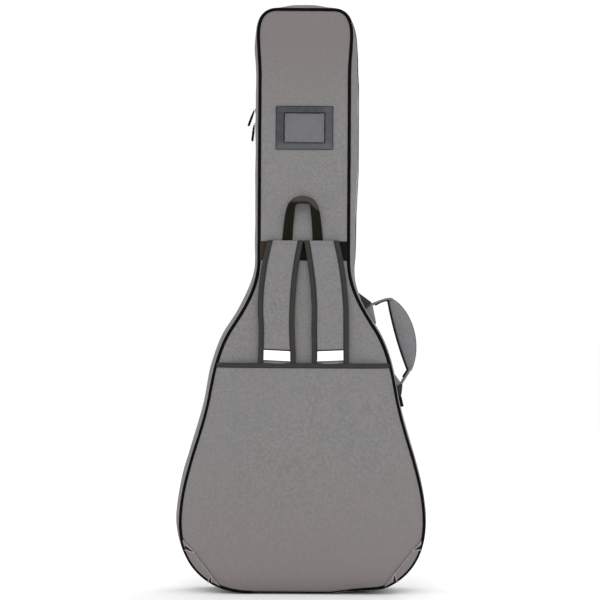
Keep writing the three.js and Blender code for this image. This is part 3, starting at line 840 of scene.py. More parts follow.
def make_spine():
    """The strip beyond the zip's ends, where the gusset is one width of fabric."""
    outline, normals = outline_part(lambda p: p[0] > FOLD_X - 0.003)
    y = np.linspace(-ZIP_HALF - 0.002, ZIP_HALF + 0.002, 9)
    points = ring_points(outline, normals, gusset_out(outline, y) + 0.0006, y)
    points[..., 2] = np.maximum(points[..., 2], 0.0001)
    piece = thicken(grid("gusset_fabric_spine", points, ring_uv(outline, y)), 0.0012)
    finish_piece(piece, "gusset_canvas", "shell")
    seams = [(points[:, column] + [0, edge * 0.0001, 0], at_depth(normals))
             for edge, column in ((-1, 1), (1, -2))]
    finish_piece(stitches("spine_stitching", seams), "thread", "shell")


def make_gusset_lining():
    """Lining along the gusset. Beside the zip it turns outwards and closes against the tape."""
    depth = np.concatenate([[0.0005, 0.0052, 0.0058],
                            np.linspace(0.0075, LINING_Y - 0.0006, 12)])
    flat = -0.0049
    under_tape = gusset_out(OUTLINE, np.array([0.001]), ZIPPED)[:, 0] - 0.0022
    out = np.full((len(OUTLINE), len(depth)), flat)
    for column, share in ((0, 1.0), (1, 0.9)):
        out[:, column] = flat + (under_tape - flat) * ZIPPED * share
    for side, name in ((-1, "back"), (1, "front")):
        y = side * depth
        points = ring_points(OUTLINE, NORMALS, out, y)
        piece = grid(f"gusset_lining_{name}", points, ring_uv(OUTLINE, y), wrap_rows=True,
                     flip=side > 0)
        thicken(piece, 0.0005)
        if side < 0:
            finish_piece(piece, "lining", "shell", ["back_gusset_lining", "spine_gusset_lining"])
        else:
            fold_piece(piece, "lining", ["lid_gusset_lining"])
    outline, normals = outline_part(lambda p: p[0] > FOLD_X - 0.006)
    y = np.linspace(-0.010, 0.010, 5)
    points = ring_points(outline, normals, -0.0042, y)
    strip = grid("gusset_lining_spine", points, ring_uv(outline, y), flip=True)
    finish_piece(thicken(strip, 0.0006), "lining", "shell")


def make_piping():
    normals = at_depth(NORMALS)
    for side, name in ((-1, "back"), (1, "front")):
        path = at_depth(OUTLINE, side * PIPING_Y)
        path += normals * (ripple(path, 0.03, 11 + side) * 0.0003)[:, None]
        x, z = np.abs(path[:, 0]), path[:, 2]
        pressed = 0.5 * smooth(0.105, 0.075, x) * (z < 0.02)
        full = 0.12 * smooth(0.10, 0.13, x) * smooth(0.16, 0.10, z)
        radius = PIPING_R * (1.07 + full - pressed + 0.05 * ripple(path, 0.012, 4))
        section = circle(1, 12)[None] * radius[:, None, None]
        piece = sweep(f"piping_{name}", path, normals, (0, 1, 0), section, closed=True)
        if side < 0:
            finish_piece(piece, "piping", "shell", ["back_piping"])
        else:
            fold_piece(piece, "piping", ["lid_piping", "front_side_piping"])


def zip_line(y):
    """The zip's path at a depth: outline points left of the fold, with their normals."""
    outline, normals = outline_part(lambda p: p[0] < FOLD_X - 0.001)
    side = smooth(0.56, 0.66, outline[:, 1]) * smooth(1.072, 1.050, outline[:, 1])
    proud = 0.0019 * side * (outline[:, 0] > 0)
    out = gusset_out(outline, np.array([y]), np.ones(len(outline)))[:, 0] - 0.0009 + proud
    path = at_depth(outline + normals * out[:, None], y)
    path[:, 2] = np.maximum(path[:, 2], 0.0012)
    return path, at_depth(normals)


def zip_teeth(name, side):
    """Half of the coil: rounded teeth that meet those of the other half in turn."""
    path, normals = zip_line(side * 0.0016)
    along = length_along(path)
    pitch = 0.0024
    half_long, half_wide, tall = 0.00085, 0.0016, 0.0012
    corners = [(a, b, c) for a in (-1, 1) for b in (-1, 1) for c in (0, 1)]
    quads = [(0, 1, 3, 2), (4, 6, 7, 5), (0, 4, 5, 1), (2, 3, 7, 6), (0, 2, 6, 4), (1, 5, 7, 3)]
    across = np.array([0.0, 1.0, 0.0])
    verts, faces = [], []
    for at in np.arange(pitch / 2 if side > 0 else 0, along[-1], pitch):
        spot = point_at(at, along, path)
        up = unit(point_at(at, along, normals))
        ahead = np.cross(across, up)
        base = len(verts)
        for a, b, c in corners:
            narrow = 0.72 if c else 1.0
            verts.append(spot + ahead * a * half_long * narrow + across * b * half_wide
                         + up * (c * tall + 0.0002))
        faces += [tuple(base + i for i in quad) for quad in quads]
    return new_object(name, verts, faces, np.zeros((len(verts), 2)), closed=True)


def make_zip():
    for side, name, body in ((-1, "back", "shell"), (1, "lid", "lid")):
        y = side * np.array([0.0002, 0.0030, ZIP_HALF + 0.003])
        rows = [zip_line(v)[0] for v in y]
        tape = grid(f"zip_tape_{name}_fabric", np.stack(rows, axis=1), ring_uv(rows[0], y),
                    flip=side > 0)
        finish_piece(thicken(tape, 0.0008), "zip_tape", body, [f"zip_tape_{name}"])
        finish_piece(zip_teeth(f"zip_coil_{name}", side), "zip_coil", body)


# ---- stow pocket
def across_bag(z, inset, count):
    """A level flat line across the bag."""
    span = half_width(z) - inset
    return np.linspace((-span, z), (span, z), count)


def make_stow_pocket():
    x, z = panel_grid(SEAM_LIFT + 0.001, POCKET_TOP + 0.005)
    panel = panel_piece("stow_pocket_fabric", x, stow_y(x, z), z, 0.0012)
    finish_piece(panel, "canvas", "shell", ["stow_pocket"])
    line = across_bag((POCKET_TOP + BINDING_TOP) / 2, 0.0012, 120)
    path = laid(line, stow_y, -0.0004)
    binding = ribbon("stow_binding_tape", path, (0, 0, 1), BINDING_TOP - POCKET_TOP, 0.0034)
    finish_piece(binding, "binding", "shell", ["stow_binding"])
    seam = stitches("stow_binding_stitching", [(path + [0, -0.0019, -0.0036], BACKWARDS)])
    finish_piece(seam, "dark_thread", "shell")


def make_patches():
    """The corner patches. A light seam runs across each one, from the outline down to the base."""
    for side, name in ((-1, "left"), (1, "right")):
        line = bezier((0.2175, 0.099), (0.1815, 0.060), (0.1495, 0.013), steps=40) * (side, 1)
        first, last = (np.argmin(np.hypot(*(FINE - end).T)) for end in (line[0], line[-1]))
        rim = FINE[np.linspace(first, last, len(line)).astype(int)]
        u = np.linspace(0, 0.985, 12)
        flat = between(line, rim, u)
        x, z = flat[..., 0], flat[..., 1]
        y = stow_y(x, z) - 0.0011 * (1 - 0.8 * u**6)
        patch = panel_piece(f"corner_patch_{name}_fabric", x, y, z, 0.0010, flip=side < 0)
        finish_piece(patch, "canvas", "shell", [f"corner_patch_{name}"])
        inner = line - right_of(directions(line)) * side * 0.0022
        seam = at_depth(inner, stow_y(line[:, 0], line[:, 1]) - 0.0014)
        thread = stitches(f"corner_patch_{name}_stitching", [(seam, BACKWARDS)],
                          length=0.0034, gap=0.0009, radius=0.0006)
        finish_piece(thread, "pale_thread", "shell")
        make_darts(side, name)


DARTS = {  # each dart: from the seam to the piping, and the width of its fold there
    "left": (((-0.197, 0.0765), (-0.2155, 0.0800), 0.0120),
             ((-0.1665, 0.0350), (-0.1655, 0.0215), 0.0078)),
    "right": (((0.202, 0.0820), (0.2185, 0.0830), 0.0110),
              ((0.1690, 0.0400), (0.1655, 0.0255), 0.0110)),
}


def make_darts(side, name):
    """Small folded darts that take up the fullness of a corner patch. Each fold is a dark cone, a
    painted shadow inside the dart.
    """
    t = np.linspace(0, 1, 14)[:, None]
    for number, (tip, foot, width) in enumerate(DARTS[name]):
        tip, foot = np.array([tip]), np.array([foot])
        turned = -right_of(unit(foot - tip)) * side
        # The fold part is painted shadow: a dark tube where the dart's fold lies in shade.
        for share, part, material in ((0.5, "fold", "dark_thread"), (0.0, "edge", "pale_thread"),
                                      (1.0, "rim", "pale_thread")):
            line = tip + (foot - tip) * t + turned * width * t * share
            radius = 0.0005 + 0.2 * width * t[:, 0] if part == "fold" else 0.0008
            piece = tube(f"corner_dart_{name}_{number}_{part}", laid(line, stow_y, 0.0016), radius,
                         sides=8)
            finish_piece(piece, material, "shell")


# ---- straps
STRAP_LIE = {  # heights, and how far each edge of the straps has slipped to the right there
    "height": (0.442, 0.486, 0.522, 0.559, 0.596, 0.650),
    ("left", "outer"): (0.0024, 0.0015, -0.0022, -0.0036, -0.0031, 0.0),
    ("left", "inner"): (0.0, -0.0028, -0.0038, -0.0038, -0.0030, 0.0),
    ("right", "inner"): (0.0022, 0.0018, 0.0032, 0.0032, 0.0018, -0.0008),
    ("right", "outer"): (-0.0013, 0.0, 0.0014, 0.0014, 0.0004, -0.0026),
}
STRAP_EDGES = {
    "inner": ((0.002, 0.650), (0.015, 0.560), (0.0147, 0.4275)),
    "outer": ((0.066, 0.650), (0.0815, 0.570), (0.0843, 0.4275)),
}
STRAP_X = 0.0495  # middle of a strap
PAD_BACK = -0.0672  # inner face of a strap's edge
PAD_FRONT = -0.0742
STRAP_BIND = 0.0092  # width of the binding that shows


def strap_edge(z, name, edge):
    """X of a strap's edge at each height."""
    line = bezier(*STRAP_EDGES[edge])
    side = -1 if name == "left" else 1
    slip = spline(np.stack([STRAP_LIE["height"], STRAP_LIE[name, edge]], axis=1))
    return side * np.interp(z, line[::-1, 1], line[::-1, 0]) + np.interp(z, slip[:, 0], slip[:, 1])


def strap_pad(name):
    """The closed pad of one strap, filled."""
    rows = np.linspace(STRAP_TOP - 0.001, TUCK_Z, 66)
    columns = 15
    u = np.linspace(0, 1, columns)
    lift = smooth(0.12, 0.34, u) * smooth(0.88, 0.66, u)
    end = smooth(STRAP_TOP - 0.001, STRAP_TOP - 0.018, rows)[:, None]
    tucked = smooth(TUCK_Z, BINDING_TOP + 0.012, rows)[:, None]
    edges = [np.stack([strap_edge(rows, name, label), rows], axis=1) for label in STRAP_EDGES]
    flat = between(*edges, u)
    x, z = flat[..., 0], flat[..., 1]
    creases = ripple(xyz(x * 0.8 + z * 0.6, 0, (z * 0.8 - x * 0.6) * 0.3), 0.014, 12)
    front = PAD_FRONT - 0.0014 * lift * end * (0.2 + 0.8 * tucked)
    front = front + 0.0016 * (1 - tucked) - 0.0009 * lift * creases
    pad, index = cushion(f"strap_pad_{name}_fabric", flat, front, PAD_BACK + 0.0004 * lift)
    edge_columns = [0, 1, columns - 2, columns - 1, columns, columns + 1, -2, -1]
    sewn = [index[:, edge_columns], index[[0, -1]], index[:, columns:]]
    loose = np.zeros(index.shape)
    loose[:, :columns] = lift * (end * (0.15 + 0.85 * tucked))
    pins = np.unique(np.concatenate([part.ravel() for part in sewn]))
    puff(pad, 2.0, 0.0024, pins, stretch=0.02, loose=loose.ravel())
    return pad


def binding_section(front, back):
    """Tape folded over an edge: in along first, with the piece's faces at front and back in Y."""
    width = STRAP_BIND
    t = 0.0010  # the tape's thickness
    return [
        (width, front - t), (0.0010, front - t), (-t, front + 0.0008), (-t, back - 0.0008),
        (0.0010, back + t), (width, back + t), (width, back), (0.0008, back - 0.0002),
        (0.0, back - 0.0010), (0.0, front + 0.0010), (0.0008, front + 0.0002), (width, front),
    ]


def make_strap(side, name):
    bend = [(side * STRAP_X, PAD_BACK, z) for z in BOW]

    def bow(piece, material, replaces=(), fill=0.0):
        finish_piece(piece, material, ("shell", f"strap_{name}"), replaces, bend)

    pad = strap_pad(name)
    surface = surface_depth(pad, -1)
    bow(subdivide(pad), "strap_canvas", [f"strap_pad_{name}"], 0.75)
    rows = np.linspace(STRAP_TOP + 0.0004, TUCK_Z, 70)
    lowered = 0.0016 * smooth(BINDING_TOP + 0.012, TUCK_Z, rows)
    section = [binding_section(PAD_FRONT + low - 0.0002, PAD_BACK + 0.0002) for low in lowered]
    seams = []
    for label, inward in (("inner", side), ("outer", -side)):
        path = xyz(strap_edge(rows, name, label), 0, rows)
        tape = sweep(f"strap_binding_{name}_{label}", path, (inward, 0, 0), (0, 1, 0), section)
        bow(tape, "binding", [f"strap_binding_{name}"])
        seam = path + np.array([inward * (STRAP_BIND - 0.0018), 0, 0])
        seam[:, 1] = PAD_FRONT + lowered - 0.00135
        seams.append((seam, BACKWARDS))
    bow(stitches(f"strap_stitching_{name}", seams), "dark_thread")
    make_reflector(side, name, surface, bow)
    make_strap_head(name, bow)


def make_reflector(side, name, surface, bow):
    """The reflective strip over a strap's front, with a trim along each of its edges."""
    low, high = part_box(f"strap_reflector_{name}")
    middle = (low.z + high.z) / 2
    height = high.z - low.z
    reach = side * (STRAP_BIND - 0.001)
    x = np.linspace(strap_edge(middle, name, "inner") + reach,
                    strap_edge(middle, name, "outer") - reach, 26)
    tilt = (x - side * STRAP_X) * side * 0.045
    path = xyz(x, surface(x, np.full(26, middle)) - 0.0007, middle + tilt)
    strip = ribbon(f"strap_reflector_{name}_tape", path, (0, 0, 1), height, 0.0005)
    bow(strip, "reflective", [f"strap_reflector_{name}"])
    for edge, label, material, slot in ((1, "upper", "black_webbing", "black_webbing"),
                                        (-1, "lower", "card_frame", "canvas")):
        line = path + [0, -0.0002, edge * (height / 2 + 0.0006)]
        trim = ribbon(f"strap_reflector_{name}_{label}_trim", line, (0, 0, 1), 0.0022, 0.0007)
        bow(trim, material)


def make_strap_head(name, bow):
    """The strap's folded top end, pressed flat by its seam."""
    x = np.linspace(*(strap_edge(STRAP_TOP, name, label) for label in STRAP_EDGES), 24)
    path = xyz(x, (PAD_FRONT + PAD_BACK) / 2, STRAP_TOP - 0.0030)
    bow(tube(f"strap_fold_{name}", path, 0.0034, side=(0, 0, 1)), "strap_canvas")
    seam = xyz(x[2:-2], PAD_FRONT - 0.0012, STRAP_TOP - 0.0065)
    bow(stitches(f"strap_head_stitching_{name}", [(seam, BACKWARDS)]), "thread")


# ---- yoke, loop and card holder
def make_yoke():
    low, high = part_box("yoke_band")
    height = high.z - low.z
    path = laid(across_bag((low.z + high.z) / 2, 0.0014, 60), back_y, 0.0009)
    webbing = ribbon("yoke_band_webbing", path, (0, 0, 1), height, 0.0017)
    finish_piece(webbing, "yoke_webbing", "shell", ["yoke_band"])
    seams = [(path + [0, -0.0009, edge * (height / 2 - 0.0028)], BACKWARDS) for edge in (-1, 1)]
    finish_piece(stitches("yoke_stitching", seams), "dark_thread", "shell")


LOOP_HALF = {  # mm across and up from the loop's foot, and how far the edges turn away
    "inner": ((18.5, 0), (17.6, 22), (16.1, 42), (14.6, 54), (13.3, 65), (9.5, 68.8), (4, 69.3),
              (0, 69.3)),
    "outer": ((37.6, 0), (35.6, 22), (33.2, 42), (31.2, 54), (27.6, 66), (21.5, 74.6),
              (12.5, 81.0), (0, 83.8)),
    "turn": (0, 0.4, 1.5, 3.2, 5.0, 6.0, 6.2, 6.2),
}
LOOP_FOOT = Vector((-0.0024, -0.0664, 0.6485))


def loop_edge(label):
    """One edge of the loop's webbing, from foot to foot."""
    away = 1 if label == "outer" else -1
    half = spline([(x, away * t, z) for (x, z), t in zip(LOOP_HALF[label], LOOP_HALF["turn"])])
    line = np.vstack([half * (-1, 1, 1), half[::-1][1:]]) / 1000
    lean = 0.10 * line[:, 2] + 0.0065 * smooth(0.02, 0.08, line[:, 2])
    return line + np.array(LOOP_FOOT) - xyz(0, lean, 0)


def make_loop():
    """Webbing that stands up flat from the seam and turns to face upwards over its crown."""
    bodies = ("shell", "loop")
    bend = [LOOP_FOOT + Vector((0, 0, up)) for up in (0.0015, 0.0200)]
    inner, outer = loop_edge("inner"), loop_edge("outer")
    webbing = band("hang_loop_webbing", inner, outer, 0.0024)
    finish_piece(webbing, "loop_webbing", bodies, ["hang_loop"], bend=bend)
    rows = []
    for share in (0.12, 0.88):
        seam = inner * (1 - share) + outer * share
        up = unit(np.cross(directions(seam), outer - inner))
        rows.append((seam + up * 0.0013, up))
    finish_piece(stitches("hang_loop_stitching", rows), "dark_thread", bodies, bend=bend)


def make_card_holder():
    low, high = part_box("card_frame")
    pane_low, pane_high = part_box("card_pane")
    inner_x, inner_low, inner_top = pane_high.x - 0.006, pane_low.z + 0.006, pane_high.z - 0.006
    width = high.x - inner_x
    middle = inner_x + width / 2
    end = high.x - 0.0008
    top, bottom = (high.z + inner_top) / 2, (low.z + inner_low) / 2
    strips = [
        ("left", ((-middle, low.z), (-middle, high.z)), (1, 0, 0), width, 0.0015),
        ("right", ((middle, low.z), (middle, high.z)), (1, 0, 0), width, 0.0015),
        ("top", ((-end, top), (end, top)), (0, 0, 1), high.z - inner_top, 0.0019),
        ("bottom", ((-end, bottom), (end, bottom)), (0, 0, 1), inner_low - low.z, 0.0019),
    ]
    for name, ends, across, wide, lift in strips:
        path = laid(np.linspace(*ends, 30), back_y, lift)
        piece = ribbon(f"card_frame_{name}", path, across, wide, 0.0011)
        finish_piece(piece, "card_frame", "shell", ["card_frame"])

    def around(x, z0, z1):
        return np.array([(-x, z0), (x, z0), (x, z1), (-x, z1)])

    inset = 0.0020
    line = around(high.x - inset, low.z + inset, high.z - inset)
    seam = laid(resample(np.vstack([line, line[:1]]), 0.003), back_y, 0.00255)
    finish_piece(stitches("card_stitching", [(seam, BACKWARDS)]), "thread", "shell")
    # The outer cord is painted shadow: a dark cord round the frame's outer edge, standing in for the
    # shadow line at its lower edge.
    for label, line, lift in (("window", around(inner_x, inner_low, inner_top), 0.0021),
                              ("outer", around(high.x, low.z, high.z), 0.0012)):
        path = laid(resample(line, 0.003, closed=True), back_y, lift)
        cord = tube(f"card_{label}_edge", path, 0.0008, sides=8, closed=True)
        finish_piece(cord, "black_webbing", "shell")
    x, z = np.meshgrid(np.linspace(-pane_high.x, pane_high.x, 40),
                       np.linspace(pane_low.z, pane_high.z, 30))
    y = back_y(x, z) - 0.0013 - 0.0004 * ripple(xyz(x, 0, z), 0.02, 6)
    pane = panel_piece("card_pane_film", x, y, z, 0.0003)
    finish_piece(pane, "card_pane", "shell", ["card_pane"])


# ---- carry handle
HANDLE_TOP = (0.122, 0, 0.535)  # the ends of the line that the handle swings on
HANDLE_LOW = (0.181, 0, 0.388)
UPPER_ROUTE = bezier((0.110, 0.5325), (0.132, 0.5290), (0.145, 0.5455), (0.1655, 0.5435), steps=26)
LOWER_ROUTE = bezier((0.2020, 0.4180), (0.1965, 0.4085), (0.1890, 0.3975), (0.1790, 0.3800), steps=26)
GRIP_OUTER = bezier((0.1612, 0.5456), (0.196, 0.532), (0.2255, 0.466), (0.2014, 0.4110), steps=40)
GRIP_INNER = bezier((0.1580, 0.5405), (0.1705, 0.474), (0.1953, 0.4112), steps=40)


def make_grip():
    """The padded crescent that is held, from its upper tip to its lower tip."""
    columns = 12
    u = np.linspace(0, 1, columns)
    t = np.linspace(0, 1, len(GRIP_OUTER))
    half = 0.0065 * (np.sin(np.pi * np.clip(t, 0.04, 0.96)) ** 0.35)
    lift = half[:, None] * (0.45 + 0.55 * (4 * u * (1 - u)) ** 0.5)
    grip, index = cushion("handle_grip_fabric", between(GRIP_INNER, GRIP_OUTER, u), -lift, lift)
    sewn = [index[:, [0, -1, columns - 1, columns]], index[[0, -1]]]
    puff(grip, 3.0, 0.003, np.unique(np.concatenate([part.ravel() for part in sewn])))
    finish_piece(subdivide(grip), "strap_canvas", "handle", ["handle_grip"])


def make_handle():
    make_grip()
    tail = LOWER_ROUTE + right_of(directions(LOWER_ROUTE)) * 0.0034
    edge = resample(np.vstack([GRIP_INNER - (0.0006, 0), tail[5:17]]), 0.003)
    upper = bezier((0.1336, 0.5327), (0.1380, 0.5335), (0.146, 0.5420), (0.1600, 0.5405), steps=20)
    for name, line, width in (("handle_trim", edge, 0.0150), ("handle_trim_upper", upper, 0.0124)):
        trim = ribbon(name, at_depth(line), (0, 1, 0), width, 0.0030)
        finish_piece(trim, "black_webbing", "handle")
    rim = tube("handle_rim_piping", at_depth(GRIP_OUTER), 0.0009, sides=8)
    finish_piece(rim, "piping", "handle")
    make_handle_webbing()
    make_anchors()


def make_handle_webbing():
    """Webbing from each anchor into the grip. The points where its ends turn with the handle are given,
    but it is only baked in place.
    """
    sides = (
        ("upper", UPPER_ROUTE, HANDLE_TOP, (-0.009, 0, 0), (0.010, 0, 0.006)),
        ("lower", LOWER_ROUTE, HANDLE_LOW, (-0.006, 0, -0.010), (0.008, 0, 0.008)),
    )
    for name, route, pivot, *ends in sides:
        strip = ribbon(f"handle_webbing_{name}", at_depth(route), (0, 1, 0), 0.0130, 0.0050)
        bend = [tuple(p + e for p, e in zip(pivot, end)) for end in ends]
        finish_piece(strip, "handle_webbing", ("shell", "handle"), ["handle_webbing"], bend=bend)


def rounded(corners, radius=0.0022):
    """A closed outline from its corners, each rounded off."""
    corners = [np.array(c, float) for c in corners]
    made = []
    for i, corner in enumerate(corners):
        before = unit(corners[i - 1] - corner) * radius
        after = unit(corners[(i + 1) % len(corners)] - corner) * radius
        made.append(bezier(corner + before, corner, corner + after, steps=5))
    return resample(np.vstack(made), 0.0015, closed=True)


def anchor_slab(name, outline, half):
    """A sewn tab: an outline in X and Z, rounded over its front and back."""
    centre = outline.mean(axis=0)
    crown = 0.0006
    rings = []
    for side, order in ((1, 1), (-1, -1)):
        for share, depth in ((0.0, 1.0), (0.55, 1.0), (0.9, 0.92), (1.0, 0.6))[::order]:
            ring = centre + (outline - centre) * max(share, 0.02)
            rings.append(at_depth(ring, -side * depth * (half + crown * (1 - share))))
    return lofted(name, np.stack(rings))


ANCHORS = {  # each piece of the anchors: its corners, half its depth and its material
    "upper_tab": (((0.0975, 0.5590), (0.1275, 0.5370), (0.1140, 0.5210), (0.0945, 0.5400)),
                  0.0105, "binding"),
    "upper_flap": (((0.1105, 0.5240), (0.1285, 0.5352), (0.1360, 0.4970), (0.1270, 0.4975)),
                   0.0085, "handle_webbing"),
    "lower_tab": (((0.1715, 0.3815), (0.1855, 0.3865), (0.1842, 0.3715), (0.1826, 0.3615),
                   (0.1745, 0.3615)), 0.0105, "binding"),
    "lower_flap": (((0.1685, 0.4070), (0.1826, 0.3880), (0.1765, 0.3800), (0.1680, 0.3840)),
                   0.0090, "handle_webbing"),
    "lower_tail": (((0.1755, 0.3635), (0.1834, 0.3635), (0.1880, 0.3435), (0.1815, 0.3435)),
                   0.0095, "black_webbing"),
}


def make_anchors():
    for label, (corners, half, material) in ANCHORS.items():
        piece = anchor_slab(f"handle_anchor_{label}", rounded(corners), half)
        place, part = label.split("_")
        finish_piece(piece, material, "shell", [f"handle_anchor_{place}"] if part == "tab" else [])


# ---- zip sliders and pullers
def soften(node, width=0.0006):
    """Rounds a CAD node's edges by a modifier, without changing its mesh."""
    bevel = NODES[node].modifiers.new("Rounded edges", "BEVEL")
    bevel.width = width
    bevel.segments = 3
    bevel.limit_method = "ANGLE"


def make_puller(name, out, foot):
    """A knotted cord with a moulded end, where the CAD rod lies, and a link round its slider's bail.

    out is the way from the cord to the bail, and foot is how far along it the link starts."""
    points = np.array([v.co for v in NODES[name].data.vertices])
    centre = points.mean(axis=0)
    axis = np.linalg.svd(points - centre, full_matrices=False)[2][0]
    up = axis * ((points - centre) @ axis).max() * np.sign(axis @ out)
    top = centre + up
    t = np.linspace(0, 1, 40)
    path = top - 2 * up * t[:, None]
    radius = 0.0016 + 0.0007 * smooth(0.30, 0.36, t) + 0.0005 * np.exp(-(((t - 0.22) / 0.05) ** 2))
    radius = radius * np.sqrt(np.clip(1 - ((t - 0.5) / 0.502) ** 20, 0.03, 1))
    finish_piece(tube(f"{name}_cord", path, radius), "black_webbing", name, [name])
    corners = [(0.0014, foot), (0.0016, 0.0038), (-0.0016, 0.0038), (-0.0014, foot)]
    ring = [top + np.array([0, across, 0]) + np.array(out) * far for across, far in corners]
    link = tube(f"{name}_link", bezier(*ring, steps=14), 0.0006, side=(1, 0, 0.2), sides=8)
    finish_piece(link, "slider_metal", name)


def make_sliders():
    for name, out, foot in (("upper", (0, 0, 1), 0.0004), ("lower", (0, 0, 1), 0.0004),
                            ("pocket", (1, 0, 0), -0.0004)):
        soften(f"{name}_slider")
        make_puller(f"{name}_puller", out, foot)


# ---- lid pocket
def pocket_outline(half, bottom, top, radius):
    """The right half of a panel with rounded corners."""
    near = radius * 0.45
    corner = bezier((half - radius, bottom), (half - near, bottom), (half, bottom + near),
                    (half, bottom + radius), steps=12)
    upper = bezier((half, top - radius), (half, top - near), (half - near, top),
                   (half - radius, top), steps=12)
    return np.vstack([corner, upper])


def make_lid_pocket():
    low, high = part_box("pocket_panel")
    half, bottom, top = high.x, low.z, high.z
    radius, face = 0.034, high.y
    outline = both_halves(pocket_outline(half, bottom, top, radius))
    normals = right_of(directions(outline, closed=True))
    z = bottom + (top - bottom) * (0.5 - 0.5 * np.cos(np.linspace(0.02, math.pi - 0.02, 60)))
    into_corner = np.clip(radius - np.minimum(z - bottom, top - z), 0, None)
    width = half - radius + np.sqrt(np.clip(radius**2 - into_corner**2, 0, None))
    x = width[:, None] * np.sin(np.linspace(-1, 1, 50) * math.pi / 2)
    z = np.repeat(z[:, None], 50, axis=1)
    gap = np.full(x.shape, 1.0)
    for spot_x, spot_z in resample(outline, 0.003, closed=True):
        gap = np.minimum(gap, np.hypot(x - spot_x, z - spot_z))
    wavy = ripple(xyz(x, 0, z), 0.05, 9) * 0.0010 * smooth(0.004, 0.03, gap)
    y = face - 0.0016 + 0.0058 * (1 - np.exp(-gap / 0.014)) + wavy
    panel = panel_piece("lid_pocket_fabric", x, y, z, flip=True)
    finish_piece(panel, "canvas", "lid", ["pocket_panel"])
    y = np.linspace(0.0610, face - 0.0018, 8)
    bulge = 0.0012 + 0.0022 * np.sin(np.linspace(0, math.pi, 8))
    wall = grid("lid_pocket_gusset", ring_points(outline, normals, bulge, y), ring_uv(outline, y),
                wrap_rows=True)
    finish_piece(thicken(wall, 0.0010), "gusset_canvas", "lid", ["pocket_gusset"])
    path = at_depth(outline + normals * 0.0014, face - 0.0012)
    rim = sweep("lid_pocket_piping", path, at_depth(normals), (0, 1, 0), circle(0.0019), closed=True)
    finish_piece(rim, "piping", "lid", ["pocket_piping"])
    low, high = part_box("pocket_zip_tape")
    x = np.linspace(low.x, high.x, 60)
    path = xyz(x, (low.y + high.y) / 2, high.z + 0.0002)
    tape = ribbon("lid_pocket_zip_fabric", path, (0, 1, 0), 0.0088, 0.0009)
    finish_piece(tape, "zip_tape", "lid", ["pocket_zip_tape"])
    coil = ribbon("lid_pocket_zip_coil", path + [0, 0, 0.0004], (0, 1, 0), 0.0030, 0.0008)
    finish_piece(coil, "zip_coil", "lid")


# ---- inside
def make_neck_cradle():
    """The padded block that the guitar's neck lies in."""
    low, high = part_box("neck_cradle")
    columns = 40
    x = np.linspace(low.x, high.x, columns)
    groove = 0.020 * np.sqrt(np.clip(1 - (x / 0.027) ** 2, 0, 1))
    edge = 0.0035 * np.exp(-((np.abs(x) - high.x) / 0.004) ** 2)
    z = np.linspace(low.z, high.z, 24)[:, None]
    ends = 0.0030 * (np.exp(-(z - low.z) / 0.004) + np.exp(-(high.z - z) / 0.004))
    top = xyz(x, high.y - groove - edge - ends, z)
    under = xyz(x[::-1], low.y + 0.0012, z)
    cradle = lofted("neck_cradle_pad", np.concatenate([top, under], axis=1))
    finish_piece(subdivide(cradle), "lining", "shell", ["neck_cradle"])


def make_inside():
    make_neck_cradle()
    low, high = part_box("neck_strap")
    x = np.linspace(low.x, high.x, 40)
    y = high.y - 0.001 + 0.0015 * np.cos(x / high.x * math.pi / 2)
    path = xyz(x, y, (low.z + high.z) / 2)
    strap = ribbon("neck_strap_webbing", path, (0, 0, 1), high.z - low.z, 0.0016)
    finish_piece(strap, "black_webbing", "shell", ["neck_strap"])
    for side in ("left", "right"):
        name = f"stowed_webbing_{side}"
        low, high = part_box(name)
        y = -0.0692 + 0.0010 * np.sin(np.linspace(0, 9, 30))
        path = xyz((low.x + high.x) / 2, y, np.linspace(low.z, high.z - 0.0005, 30))
        webbing = ribbon(f"{name}_strip", path, (1, 0, 0), high.x - low.x, 0.0018)
        finish_piece(webbing, "black_webbing", "shell", [name])


def paint_frame():
    """Materials for the CAD nodes that stay: buckles, sliders and the end-pin pad."""
    slots = {s["node"]: s["material_slot"] for s in frame["record"]["subparts"]}
    for name, node in NODES.items():
        if not node.hide_render:
            paint(node, slots[name])
    for name in ("ladder_lock_left", "ladder_lock_right", "end_pin_pad"):
        soften(name, 0.0008)


# ---- camera, floor and light
VIEW_ROLL = -0.0058  # the bag leans a little to the right in the view


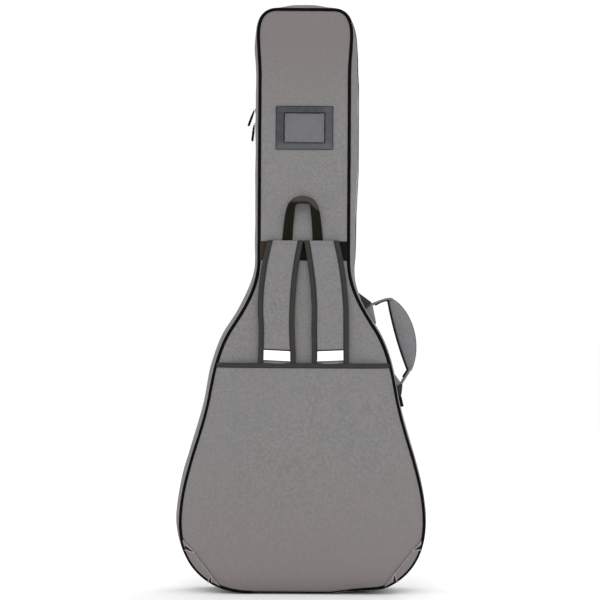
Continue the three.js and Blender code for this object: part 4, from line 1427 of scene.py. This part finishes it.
def make_camera():
    """Straight-on view of the back, from far enough away to look almost without perspective."""
    lens, sensor = 150.0, 36.0
    width = 1.102  # what the view is wide at the bag's back
    distance = width * lens / sensor
    data = bpy.data.cameras.new("camera")
    data.lens = lens
    data.sensor_width = sensor
    data.clip_end = 100
    camera = bpy.data.objects.new("camera", data)
    camera.location = (-0.0064, -0.066 - distance, 0.541)
    camera.rotation_euler = (math.radians(90), VIEW_ROLL, 0)
    bpy.context.scene.collection.objects.link(camera)
    bpy.context.scene.camera = camera


def area_light(name, place, target, size, power):
    data = bpy.data.lights.new(name, "AREA")
    data.shape = "SQUARE"
    data.size = size
    data.energy = power
    light = bpy.data.objects.new(name, data)
    light.location = place
    aim = Vector(target) - Vector(place)
    light.rotation_euler = aim.to_track_quat("-Z", "Y").to_euler()
    bpy.context.scene.collection.objects.link(light)


def floor_material():
    shader = Shader("floor")
    tone = shader.mix(shader.noise(3.0), (0.95, 0.95, 0.95, 1), (0.98, 0.98, 0.98, 1))
    shader.set(shader.bsdf.inputs["Base Color"], tone)
    shader.set(shader.bsdf.inputs["Roughness"], 0.9)
    return shader.material


def make_studio():
    bpy.ops.mesh.primitive_plane_add(size=60, location=(0, 0, 0))
    floor = bpy.context.object
    floor.name = "floor"
    floor.data.materials.append(floor_material())
    world = bpy.data.worlds.new("studio")
    world.use_nodes = True
    sky = world.node_tree.nodes["Background"]
    sky.inputs["Color"].default_value = (1.0, 1.0, 1.0, 1)
    sky.inputs["Strength"].default_value = 1.03
    bpy.context.scene.world = world
    area_light("key", (-0.4, -3.6, 2.8), (0, 0, 0.5), 1.6, 33)
    area_light("back", (1.8, 3.2, 2.8), (0, 0, 0.6), 1.6, 30)
    bpy.context.scene.view_settings.view_transform = "Standard"


# ---- build
make_camera()
make_panels()
make_gusset()
make_piping()
make_zip()
make_stow_pocket()
make_patches()
make_yoke()
make_strap(-1, "left")
make_strap(1, "right")
make_loop()
make_card_holder()
make_handle()
make_sliders()
make_lid_pocket()
make_inside()
paint_frame()
make_studio()
